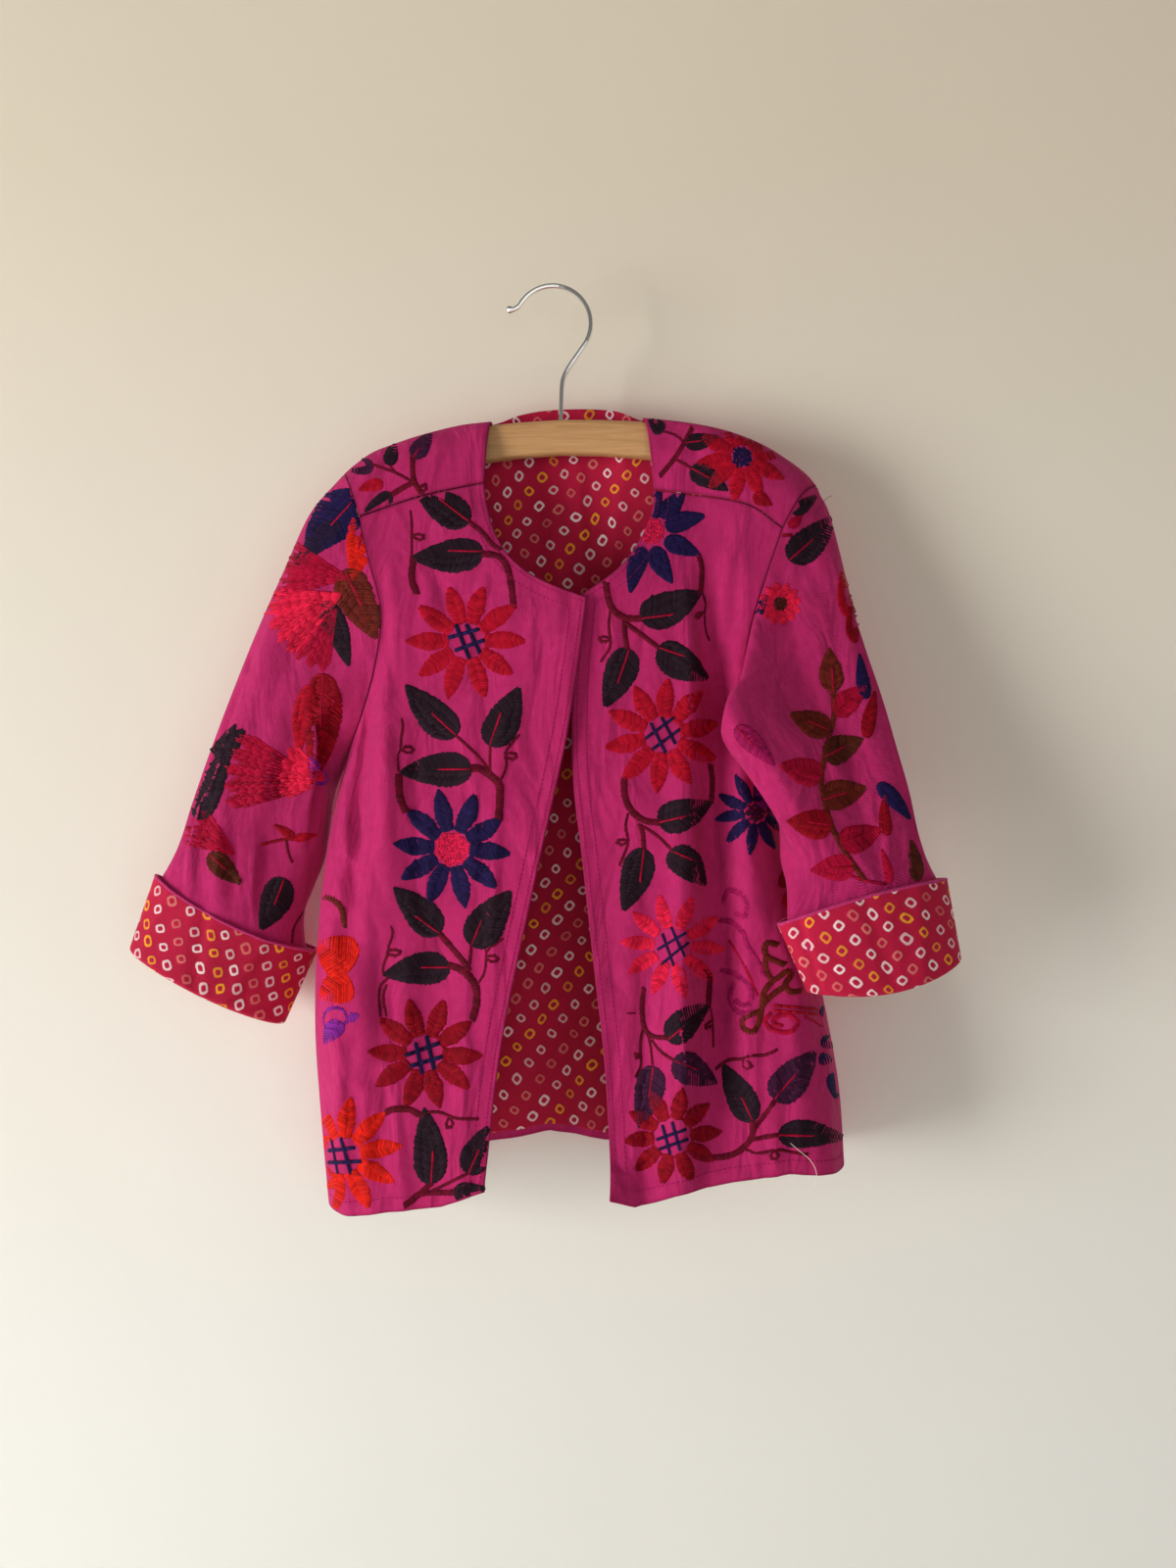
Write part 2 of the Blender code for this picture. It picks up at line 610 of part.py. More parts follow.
def open_seams(grid, seams, shared, outer):
    """Draws the seam edges of a panel back by half the seam gap, and further in a sharp fold."""
    result = grid.copy()
    edges = {"top": ((0, slice(None)), (1, slice(None))), "bottom": ((-1, slice(None)), (-2, slice(None))),
             "start": ((slice(None), 0), (slice(None), 1)), "end": ((slice(None), -1), (slice(None), -2))}
    for edge in seams:
        seam, beside = edges[edge]
        step = grid[beside] - grid[seam]
        step /= np.linalg.norm(step, axis=1, keepdims=True)
        run = outer[beside] - outer[seam]
        run /= np.linalg.norm(run, axis=1, keepdims=True)
        rise = [float(along @ shared[point_key(point)][0]) for along, point in zip(run, outer[seam])]
        narrow = np.sqrt(1.0 - np.clip(rise, 0.0, STEEPEST_SEAM) ** 2)
        result[seam] += (SEAM_GAP / 2.0 / narrow)[:, None] * step
    return result


def material(name, colour, roughness, metallic=0.0):
    made = bpy.data.materials.new(name)
    made.use_nodes = True
    shader = made.node_tree.nodes["Principled BSDF"]
    shader.inputs["Base Color"].default_value = (*colour, 1.0)
    shader.inputs["Roughness"].default_value = roughness
    shader.inputs["Metallic"].default_value = metallic
    return made


def add_mesh(name, points, faces, made_of):
    mesh = bpy.data.meshes.new(name)
    mesh.from_pydata([tuple(point * MM) for point in points], [], faces)
    mesh.validate()
    mesh.shade_smooth()
    mesh.set_sharp_from_angle(angle=math.radians(SHARP_DEG))
    mesh.materials.append(made_of)
    thing = bpy.data.objects.new(name, mesh)
    bpy.context.scene.collection.objects.link(thing)
    return thing


def add_wall(name, outer, inner, closed, flip, made_of):
    """A closed wall between an outer and an inner grid of the same size."""
    rows, columns = outer.shape[:2]
    size = rows * columns
    points = np.vstack([outer.reshape(-1, 3), inner.reshape(-1, 3)])
    faces = []
    for face in grid_faces(rows, columns, closed):
        faces.append(face)
        faces.append(tuple(index + size for index in reversed(face)))
    width = columns if closed else columns - 1
    for column in range(width):
        after = (column + 1) % columns
        last = (rows - 1) * columns
        faces.append((after, column, column + size, after + size))
        faces.append((last + column, last + after, last + after + size, last + column + size))
    if not closed:
        for row in range(rows - 1):
            here, below = row * columns, (row + 1) * columns
            faces.append((here, below, below + size, here + size))
            here, below = here + columns - 1, below + columns - 1
            faces.append((below, here, here + size, below + size))
    if flip < 0:
        faces = [tuple(reversed(face)) for face in faces]
    return add_mesh(name, points, faces, made_of)


# The garment

def make_garment():
    magenta = material("magenta_twill", (0.52, 0.03, 0.17), 0.85)
    crimson = material("crimson_lining", (0.45, 0.01, 0.07), 0.8)
    panels = {}
    for side in ("right", "left"):
        front = front_panel(side)
        yoke = yoke_panel(side, front[0])
        facing = 1.0 if side == "right" else -1.0
        panels["front_" + side] = {"grid": front, "flip": facing, "closed": False,
                                   "seams": ("top", "end"), "wall": WALL, "of": magenta}
        panels["yoke_" + side] = {"grid": yoke, "flip": -facing, "closed": False,
                                  "seams": ("top", "bottom", "end"), "wall": WALL, "of": magenta}
    back = back_panel()
    panels["back"] = {"grid": back, "flip": 1.0, "closed": False,
                      "seams": ("top", "start", "end"), "wall": WALL, "of": magenta}
    for side in ("right", "left"):
        edge = back[:, 0] if side == "right" else back[:, -1]
        loop = armhole_loop(panels["front_" + side]["grid"], panels["yoke_" + side]["grid"], edge)
        facing = 1.0 if side == "right" else -1.0
        panels["sleeve_" + side] = {"grid": sleeve_panel(side, loop), "flip": facing, "closed": True,
                                    "seams": ("top",), "wall": WALL, "of": magenta}
        panels["cuff_" + side] = {"grid": cuff_panel(side), "flip": facing, "closed": True,
                                  "seams": (), "wall": CUFF_WALL, "of": crimson}
    shared = outward(panels.values())
    body = outward([panel for name, panel in panels.items() if not name.startswith(("sleeve", "cuff"))])
    for name, panel in panels.items():
        grid = panel["grid"]
        own = outward([panel]) if panel["closed"] else body
        inner = inner_points(grid, shared, own, panel["wall"])
        add_wall(name, open_seams(grid, panel["seams"], shared, grid),
                 open_seams(inner, panel["seams"], shared, grid), panel["closed"], panel["flip"], panel["of"])
    add_back_lining(back, shared, body, crimson)


def add_back_lining(back, shared, own, made_of):
    """The lining follows the back on its inside and ends a little short of the seams and the hem."""
    outer = inner_points(back, shared, own, WALL + LAYER_GAP)[:, 1:-1]
    inner = inner_points(back, shared, own, WALL + LAYER_GAP + LINING_WALL)[:, 1:-1]
    for grid in (outer, inner):
        grid[-1] += (grid[-2] - grid[-1]) * LINING_SHORT_AT_HEM
        grid[0] += (grid[1] - grid[0]) * LINING_SHORT_AT_NECK
    add_wall("back_lining", outer, inner, False, 1.0, made_of)


# The hanger

def bar_profile(distance):
    """Top and height of the bar at a distance from its middle."""
    table = np.array(BAR_OUTLINE)
    top = spline(table[:, [0, 1]], np.linspace(0.0, 1.0, BAR_SAMPLES))
    height = spline(table[:, [0, 2]], np.linspace(0.0, 1.0, BAR_SAMPLES))
    return (float(np.interp(distance, top[:, 0], top[:, 1])),
            float(np.interp(distance, height[:, 0], height[:, 1])))


def add_bar():
    wood = material("pale_wood", (0.68, 0.46, 0.26), 0.5)
    reach = BAR_OUTLINE[-1][0]
    turns = np.linspace(0.0, 2.0 * math.pi, BAR_SIDES + 1)[:-1] + math.pi / BAR_SIDES
    power = 2.0 / BAR_SQUARENESS
    section_y = np.sign(np.cos(turns)) * np.abs(np.cos(turns)) ** power * BAR_THICKNESS / 2.0
    section_z = np.sign(np.sin(turns)) * np.abs(np.sin(turns)) ** power / 2.0
    rings = []
    for station in np.linspace(-1.0, 1.0, BAR_STATIONS + 1):
        along = reach * math.sin(station * math.pi / 2.0)
        top, height = bar_profile(abs(along))
        middle = top - height / 2.0
        slim = 1.0 if abs(station) < 1.0 else BAR_END_SHARE
        across = along * math.cos(BAR_TILT) - middle * math.sin(BAR_TILT)
        up = along * math.sin(BAR_TILT) + middle * math.cos(BAR_TILT)
        ring = np.column_stack([np.full(BAR_SIDES, BAR_MIDDLE[0] + across), section_y * slim,
                                BAR_MIDDLE[1] + up + section_z * height])
        rings.append(ring)
    bar = closed_tube("hanger_bar", rings, wood)
    socket = bmesh.new()
    bmesh.ops.create_cone(socket, cap_ends=True, segments=WIRE_SIDES * 2,
                          radius1=(WIRE_RADIUS + SOCKET_CLEARANCE) * MM,
                          radius2=(WIRE_RADIUS + SOCKET_CLEARANCE) * MM, depth=2.0 * SOCKET_DEPTH * MM)
    mesh = bpy.data.meshes.new("hook_socket_cutter")
    socket.to_mesh(mesh)
    socket.free()
    cutter = bpy.data.objects.new("hook_socket_cutter", mesh)
    foot, above = HOOK_SHANK[0], HOOK_SHANK[1]
    cutter.location = (above[0] * MM, 0.0, BAR_MIDDLE[1] * MM)
    cutter.rotation_euler = (0.0, math.atan2(above[0] - foot[0], above[1] - foot[1]), 0.0)
    cutter.hide_render = True
    cutter.display_type = "WIRE"
    bpy.context.scene.collection.objects.link(cutter)
    cut = bar.modifiers.new("hook_socket", "BOOLEAN")
    cut.operation = "DIFFERENCE"
    cut.solver = "EXACT"
    cut.object = cutter


def closed_tube(name, rings, made_of):
    """A solid through rings of points, capped at both ends."""
    count = len(rings[0])
    points = np.vstack(rings)
    faces = [tuple(reversed(face)) for face in grid_faces(len(rings), count, True)]
    faces.append(tuple(range(count)))
    faces.append(tuple(reversed(range(len(points) - count, len(points)))))
    made = add_mesh(name, points, faces, made_of)
    fix = bmesh.new()
    fix.from_mesh(made.data)
    bmesh.ops.recalc_face_normals(fix, faces=fix.faces)
    fix.to_mesh(made.data)
    fix.free()
    return made


def add_hook():
    chrome = material("chrome", (0.75, 0.75, 0.76), 0.15, 1.0)
    turns = np.radians(np.linspace(HOOK_START_DEG, HOOK_END_DEG, HOOK_ARC_STEPS + 1))
    arc = [(HOOK_CENTRE[0] + HOOK_RADIUS * math.cos(turn), HOOK_CENTRE[1] + HOOK_RADIUS * math.sin(turn))
           for turn in turns]
    shank = through(HOOK_SHANK, steps=3)[:-1]
    line = np.vstack([shank, arc, HOOK_TIP])
    ahead = np.gradient(line, axis=0)
    ahead /= np.linalg.norm(ahead, axis=1, keepdims=True)
    around = np.linspace(0.0, 2.0 * math.pi, WIRE_SIDES + 1)[:-1]
    rings = []
    for (x, z), (step_x, step_z) in zip(line, ahead):
        rings.append(wire_ring((x, z), (step_x, step_z), WIRE_RADIUS, around))
    to_ball = np.array(TIP_BALL) - line[-1]
    to_ball /= np.linalg.norm(to_ball)
    start = math.asin(WIRE_RADIUS / TIP_BALL_RADIUS)
    for turn in np.linspace(start, TIP_BALL_CLOSES, TIP_BALL_RINGS + 1)[1:]:
        centre = np.array(TIP_BALL) - to_ball * TIP_BALL_RADIUS * math.cos(turn)
        rings.append(wire_ring(centre, to_ball, TIP_BALL_RADIUS * math.sin(turn), around))
    closed_tube("hanger_hook", rings, chrome)


def wire_ring(centre, ahead, radius, around):
    """A ring of the wire: across it in the plane of the hook, and out of that plane."""
    across = np.array([ahead[1], 0.0, -ahead[0]])
    return (np.array([centre[0], 0.0, centre[1]]) + radius * np.cos(around)[:, None] * across
            + radius * np.sin(around)[:, None] * np.array([0.0, 1.0, 0.0]))


for old in list(bpy.data.objects):
    bpy.data.objects.remove(old, do_unlink=True)
make_garment()
add_bar()
add_hook()
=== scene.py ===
"""A child's embroidered open-front jacket on a small wooden hanger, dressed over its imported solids.

Lengths in the tables are millimetres, and places in the embroidery are pixels of the 1200 x 1600 frame,
dropped from the camera onto the cloth. +X is to the wearer's left, -Y is the front and +Z is up. The
origin is where a peg holds the hook.
"""
import math

import bpy
import numpy as np
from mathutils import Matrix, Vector
from mathutils.bvhtree import BVHTree


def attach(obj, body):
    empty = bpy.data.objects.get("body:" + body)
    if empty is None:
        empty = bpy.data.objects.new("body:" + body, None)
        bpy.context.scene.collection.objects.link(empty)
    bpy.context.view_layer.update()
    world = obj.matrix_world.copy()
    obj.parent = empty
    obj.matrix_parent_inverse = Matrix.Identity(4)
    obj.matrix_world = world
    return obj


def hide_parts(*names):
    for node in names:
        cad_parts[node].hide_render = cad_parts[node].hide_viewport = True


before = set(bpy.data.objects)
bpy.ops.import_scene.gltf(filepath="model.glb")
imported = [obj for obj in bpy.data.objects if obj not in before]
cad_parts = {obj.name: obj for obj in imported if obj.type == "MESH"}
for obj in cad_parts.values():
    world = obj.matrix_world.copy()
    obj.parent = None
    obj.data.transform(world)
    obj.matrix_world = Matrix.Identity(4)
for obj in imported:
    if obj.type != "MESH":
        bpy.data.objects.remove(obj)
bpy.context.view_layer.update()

# The camera
# It stands 80 cm in front of the hanger, level with the middle of the jacket, and looks straight on.
EYE = Vector((0.0217, -0.800, -0.3137))
EYE_DISTANCE_MM = 800.0
MM_PER_PIXEL = 0.62
PIXEL = MM_PER_PIXEL / EYE_DISTANCE_MM
FRAME_CENTRE = (600.0, 800.0)
SENSOR_MM = 36.0
LENS_MM = 29.03

camera = bpy.data.objects.new("camera", bpy.data.cameras.new("camera"))
camera.data.sensor_width = SENSOR_MM
camera.data.lens = LENS_MM
camera.location = EYE
camera.rotation_euler = (math.pi / 2.0, 0.0, 0.0)
bpy.context.scene.collection.objects.link(camera)
bpy.context.scene.camera = camera

# The two fronts
# Magenta cotton twill, cut to a straight front edge and a round neck, and faced on the inside with
# the tied cloth. Each is sewn to its yoke, its sleeve and the back, and hangs in soft upright folds.
MM = 0.001
DETAIL = 4
WALL = 1.4
SEAM_PULL = 0.7
EDGE_FOLD = 0.8
FRONT_COLUMNS = 12 * DETAIL
BODY_ROWS = 22 * DETAIL
TIP_SHARE = 6 / 22
ARMPIT_ROW = 8 * DETAIL
NECKLINE = {
    "right": [(-42.8, -15, -126.3), (-40.6, -20, -141.4), (-35.3, -26, -159.0), (-27.2, -30, -173.5),
              (-14.0, -33, -185.3), (2.0, -36, -193.6), (21.1, -39, -201.1)],
    "left": [(62.5, -15, -130.6), (61.6, -20, -143.3), (57.1, -25, -156.4), (51.0, -28, -168.3),
             (43.2, -31, -179.0), (33.6, -33, -187.7), (17.0, -34, -199.1)],
}
FRONT_EDGE = {
    "right": [(21.1, -39, -201.1), (15.8, -41, -243.1), (7.6, -43, -293.2), (-10.4, -46, -375.1),
              (-28.9, -49, -465.0), (-38.0, -52, -539.8), (-39.2, -52, -555.5)],
    "left": [(17.0, -34, -199.1), (12.2, -36, -254.5), (12.3, -39, -307.8), (18.2, -43, -360.7),
             (25.2, -49, -424.3), (31.0, -54, -475.6), (34.3, -60, -531.6), (34.3, -62, -558.5)],
}
YOKE_SEAM_FRONT = {
    "right": [(-42.8, -15, -126.3), (-81.8, -19, -135.8), (-119.8, -20, -148.7)],
    "left": [(62.5, -15, -130.6), (85.9, -18, -134.3), (120.0, -22, -141.3), (141.5, -23, -156.0)],
}
ARMHOLE_FRONT = {
    "right": [(-119.8, -20, -148.7), (-111.3, -27, -178.9), (-104.6, -30, -203.3), (-104.8, -30, -221.2),
              (-110.3, -26, -247.7), (-119.7, -17, -274.3), (-128.8, -4, -292.1)],
    "left": [(141.5, -23, -156.0), (130.0, -28, -188.7), (121.0, -30, -219.1), (118.0, -27, -248.4),
             (122.0, -19, -274.6), (131.2, -6, -295.3)],
}
SIDE_SEAM = {
    "right": [(-128.8, -4, -292.1), (-140.0, -8, -345.0), (-147.0, -9, -405.0), (-148.7, -9, -460.8),
              (-145.7, -9, -509.9), (-140.1, -9, -572.4)],
    "left": [(131.2, -6, -295.3), (144.8, -6, -344.5), (157.2, -5, -393.8), (168.5, -4, -443.3),
             (179.0, -2, -500.0), (182.5, -2, -550.0)],
}
# Height of the hem at places across each panel
HEM_HEIGHT = {
    "right": [(-140.1, -572.4), (-124.1, -572.6), (-94.6, -567.7), (-65.4, -564.5), (-39.2, -555.5)],
    "left": [(34.3, -558.5), (50.4, -562.0), (73.2, -553.9), (107.1, -548.1), (139.8, -544.0),
             (166.8, -546.5), (182.5, -550.0)],
    "back": [(-140.1, -572.4), (-100.0, -561.0), (-43.9, -546.2), (-3.8, -539.1), (33.2, -545.5),
             (110.0, -551.0), (182.5, -550.0)],
}
# Share of the height, y of right front, left front and back, width of the side's turn, its angle
BODY_DEPTH = [
    (0.00, -20, -22, 14, 16, 20),
    (0.10, -27, -27, 18, 26, 22),
    (0.20, -31, -31, 19, 36, 32),
    (0.28, -34, -33, 20, 42, 52),
    (0.36, -37, -35, 21, 42, 72),
    (0.46, -40, -39, 21, 38, 80),
    (0.60, -43, -45, 22, 36, 84),
    (1.00, -50, -55, 24, 34, 84),
]
FRONT_SAMPLES = 241
FLAT_SHARE_OF_CORNER = 0.6
# Top x, top z, bottom x, bottom z, half width, rise
BODY_CREASES = {
    "right": [
        (-92, -150, -94, -375, 22, 2.5),
        (-128, -400, -96, -510, 18, 4.5),
        (-62, -300, -70, -520, 20, -3.0),
    ],
    "left": [
        (73, -350, 74, -600, 20, 6.0),
        (103, -150, 104, -540, 18, -6.0),
        (139, -370, 146, -560, 22, 5.0),
    ],
    "back": [
        (4, -100, 8, -300, 20, -3.5),
        (-70, -300, -84, -620, 24, 5.0),
        (-20, -360, -26, -620, 22, -4.0),
        (48, -330, 58, -620, 24, 5.5),
        (112, -300, 124, -620, 24, -4.0),
    ],
}
# The smaller creases between those: top x, top z, bottom x, bottom z, bend, half width, rise
SMALL_CREASES = {
    "right": [
        (-120, -170, -123, -450, -3, 13, -5.5),
        (-134, -360, -120, -540, 4, 12, 3.0),
        (-98, -400, -100, -585, 4, 10, -2.4),
        (-116, -190, -122, -420, -4, 8, -4.6),
        (-98, -150, -96, -400, 3, 8, 4.1),
        (-80, -230, -76, -420, 4, 7, -2.3),
        (-24, -240, -34, -440, 5, 8, 1.7),
        (-36, -330, -44, -500, 4, 7, -1.7),
        (-104, -170, -100, -330, 3, 9, 3.2),
        (-118, -170, -112, -262, -5, 7, -2.3),
        (-70, -150, -72, -250, 4, 8, 1.3),
        (-56, -260, -48, -380, -4, 8, 1.4),
        (-6, -190, -4, -262, 2, 5, -1.2),
        (8, -200, 6, -330, -3, 5, 0.9),
        (-128, -300, -104, -392, 8, 7, 2.6),
        (-138, -330, -118, -420, 9, 7, -2.6),
        (-137, -408, -100, -520, 8, 11, 2.9),
        (-130, -455, -128, -515, -3, 7, 3.2),
        (-116, -480, -112, -585, 3, 8, -2.6),
        (-92, -500, -90, -585, -3, 9, 1.9),
        (-84, -400, -84, -500, 4, 10, 1.4),
        (-46, -450, -54, -585, 3, 9, 1.6),
    ],
    "left": [
        (104, -165, 104, -570, 3, 14, -8.0),
        (80, -250, 78, -580, 2, 12, 4.5),
        (138, -400, 150, -580, 4, 11, -3.0),
        (97, -150, 99, -540, 4, 8, -5.2),
        (116, -300, 122, -560, 3, 8, 3.2),
        (48, -340, 50, -540, 4, 9, 2.2),
        (30, -230, 36, -330, -4, 6, -1.3),
        (42, -195, 36, -300, 4, 7, 1.2),
        (76, -160, 82, -290, -4, 9, 2.2),
        (92, -165, 92, -400, 3, 6, -2.6),
        (112, -150, 108, -240, 4, 6, 2.3),
        (60, -390, 60, -520, -3, 7, 1.2),
        (78, -375, 80, -500, 3, 5, 1.7),
        (90, -380, 92, -570, 4, 6, -2.9),
        (118, -340, 122, -470, -5, 8, 2.3),
        (126, -455, 116, -545, 5, 7, -2),
        (134, -468, 134, -565, 4, 6, 2),
        (62, -500, 54, -580, 4, 6, -2.3),
        (150, -430, 158, -575, 3, 6, -2.3),
        (166, -440, 172, -575, 3, 7, 1.9),
    ],
    "back": [
        (-92, -130, -60, -230, 8, 12, 2.3),
        (-104, -200, -110, -330, -5, 9, 2),
        (-50, -180, -46, -330, 4, 10, -2.2),
        (44, -150, 40, -290, -6, 11, 2),
        (92, -140, 76, -260, 8, 12, 2.5),
        (118, -230, 126, -360, 5, 9, 2.2),
        (-118, -380, -122, -590, 4, 10, 2.6),
        (-48, -420, -52, -590, -3, 9, -1.9),
        (12, -380, 18, -590, 5, 11, 2.6),
        (84, -400, 92, -590, 4, 10, -2.5),
        (146, -410, 158, -590, -4, 10, 2.3),
    ],
}
# Reach, way forward and way up of the curl at each front's lower corner
CORNER_CURL = {"right": (26.0, 3.0, 1.0), "left": (34.0, 12.0, 5.0)}


def smooth(share):
    """A step from 0 to 1 with level ends."""
    share = np.clip(share, 0.0, 1.0)
    return share * share * (3.0 - 2.0 * share)


def swell(aside, half_width):
    """The rounded ridge of a crease, 1 on its line and 0 at its half width."""
    return np.clip(1.0 - (aside / half_width) ** 2, 0.0, 1.0) ** 2


def faded(run, reach):
    """1 along a crease, falling to 0 over a share of its length at both ends."""
    return smooth(run / reach) * smooth((1.0 - run) / reach)


def at_shares(path, shares):
    """The points at the given shares of a path's length."""
    steps = np.linalg.norm(np.diff(path, axis=0), axis=1)
    length = np.concatenate([[0.0], np.cumsum(steps)])
    wanted = np.asarray(shares) * length[-1]
    return np.column_stack([np.interp(wanted, length, path[:, axis]) for axis in range(path.shape[1])])


def through(points, steps=12):
    """A smooth curve through points, sampled finely between each two."""
    knots = np.array(points, dtype=float)
    knots = np.vstack([2 * knots[0] - knots[1], knots, 2 * knots[-1] - knots[-2]])
    fine = []
    for before, start, end, after in zip(knots, knots[1:], knots[2:], knots[3:]):
        for step in range(steps):
            t = step / steps
            fine.append(0.5 * (2 * start + (end - before) * t
                               + (2 * before - 5 * start + 4 * end - after) * t ** 2
                               + (3 * start - before - 3 * end + after) * t ** 3))
    fine.append(knots[-2])
    return np.array(fine)


def spline(points, shares):
    return at_shares(through(points), shares)


def two_part(first, second, split, shares):
    """Points along an edge whose first part ends, and whose second starts, at the share split."""
    above = spline(first, np.clip(shares / split, 0, 1))
    below = spline(second, np.clip((shares - split) / (1 - split), 0, 1))
    return np.where((shares <= split)[:, None], above, below)


def depth_at(share):
    """Right front, left front and back depth, corner width and turn at a share of the height."""
    table = np.array(BODY_DEPTH)
    right, left, back, width, turn = (np.interp(share, table[:, 0], table[:, column])
                                      for column in range(1, table.shape[1]))
    return {"right": right, "left": left, "back": back, "width": width, "turn": math.radians(turn)}


def corner(distance, width, turn):
    """How far, 0 to 1, a row has turned towards its end, from the distance left to that end."""
    reach = math.sin(turn)
    t = np.clip(1.0 - distance / width, 0.0, 1.0) * reach
    return (1.0 - np.sqrt(1.0 - t * t)) / (1.0 - math.sqrt(1.0 - reach * reach))


def front_row(start, end, flat, width, turn, columns):
    """One row of a front: level cloth from its edge, then a round turn to its seam."""
    share = (1.0 - np.cos(np.linspace(0.0, math.pi, FRONT_SAMPLES))) / 2.0
    path = start + (end - start) * share[:, None]
    across = abs(end[0] - start[0])
    level = start[1] + (flat - start[1]) * smooth(share / (1.0 - FLAT_SHARE_OF_CORNER * width / across))
    path[:, 1] = level + (end[1] - level) * corner((1.0 - share) * across, width, turn)
    return at_shares(path, np.linspace(0.0, 1.0, columns + 1))


def set_hem(grid, heights):
    """Moves the lower rows of a body panel so that its last row has the hem's heights."""
    table = np.array(sorted(heights))
    change = np.interp(grid[-1, :, 0], table[:, 0], table[:, 1]) - grid[-1, :, 2]
    shares = np.linspace(0.0, 1.0, len(grid))
    grid[:, :, 2] += shares[:, None] ** 2 * change[None, :]


def crease(grid, panel, held):
    """Raises and sinks a body panel along its large and small creases, held at the seams."""
    away = 1.0 if panel == "back" else -1.0
    large = [(*line[:4], 0.0, *line[4:]) for line in BODY_CREASES[panel]]
    for top_x, top_z, low_x, low_z, bend, half_width, rise in large + SMALL_CREASES[panel]:
        start = np.array([top_x, top_z], dtype=float)
        along = np.array([low_x, low_z]) - start
        length = np.linalg.norm(along)
        offset = grid[:, :, [0, 2]] - start
        run = offset @ along / length ** 2
        aside = (offset[:, :, 0] * along[1] - offset[:, :, 1] * along[0]) / length
        aside = np.abs(aside - bend * np.sin(np.clip(run, 0.0, 1.0) * math.pi))
        grid[:, :, 1] += away * rise * swell(aside, half_width) * faded(run, 0.3) * held


def front_panel(side):
    shares = np.linspace(0.0, 1.0, BODY_ROWS + 1)
    inner = two_part(NECKLINE[side], FRONT_EDGE[side], TIP_SHARE, shares)
    outer = two_part(ARMHOLE_FRONT[side], SIDE_SEAM[side], ARMPIT_ROW / BODY_ROWS, shares)
    rows = []
    for share, start, end in zip(shares, inner, outer):
        depth = depth_at(share)
        rows.append(front_row(start, end, depth[side], depth["width"], depth["turn"], FRONT_COLUMNS))
    grid = np.array(rows)
    columns = np.linspace(0.0, 1.0, FRONT_COLUMNS + 1)
    change = spline(YOKE_SEAM_FRONT[side], columns) - grid[0]
    grid += (1.0 - shares[:, None, None]) ** 3 * change[None, :, :]
    set_hem(grid, HEM_HEIGHT[side])
    held = smooth(shares / 0.12)[:, None] * smooth((1.0 - columns) / 0.16)[None, :]
    crease(grid, side, held)
    reach, forward, upward = CORNER_CURL[side]
    curl = np.clip(1.0 - np.linalg.norm(grid - grid[-1, 0], axis=2) / reach, 0.0, 1.0) ** 2
    grid += curl[:, :, None] * np.array([0.0, -forward, upward])
    return grid


def arc_lengths(grid, axis):
    """Length of cloth from the first row or column to each point, along that axis."""
    steps = np.linalg.norm(np.diff(grid, axis=axis), axis=2)
    start = np.zeros_like(steps.take([0], axis=axis))
    return np.concatenate([start, np.cumsum(steps, axis=axis)], axis=axis)


def outward(grid, facing, closed=False):
    """Unit normals of a grid of points."""
    if closed:
        ahead = np.roll(grid, -1, axis=1) - np.roll(grid, 1, axis=1)
    else:
        ahead = np.gradient(grid, axis=1)
    normal = np.cross(ahead, np.gradient(grid, axis=0)) * facing
    return normal / np.maximum(np.linalg.norm(normal, axis=2, keepdims=True), 1e-9)


def tight_edge(grid):
    """Draws the first row in to the seam's groove, and adds a row that makes the edge turn tightly."""
    step = grid[1] - grid[0]
    length = np.maximum(np.linalg.norm(step, axis=1, keepdims=True), 1e-9)
    pull = np.minimum(SEAM_PULL, 0.3 * length)
    fold = np.minimum(SEAM_PULL + EDGE_FOLD, 0.6 * length)
    return np.concatenate([(grid[0] + step / length * pull)[None],
                           (grid[0] + step / length * fold)[None], grid[1:]])


def tight_edges(grid, closed):
    grid = tight_edge(tight_edge(grid)[::-1])[::-1]
    if closed:
        return grid
    turned = grid.transpose(1, 0, 2)
    return tight_edge(tight_edge(turned)[::-1])[::-1].transpose(1, 0, 2)


def placed(name, mesh):
    """Puts a mesh in the scene as a smooth piece that stays with the jacket."""
    mesh.shade_smooth()
    piece = bpy.data.objects.new(name, mesh)
    bpy.context.scene.collection.objects.link(piece)
    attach(piece, "root")
    return piece


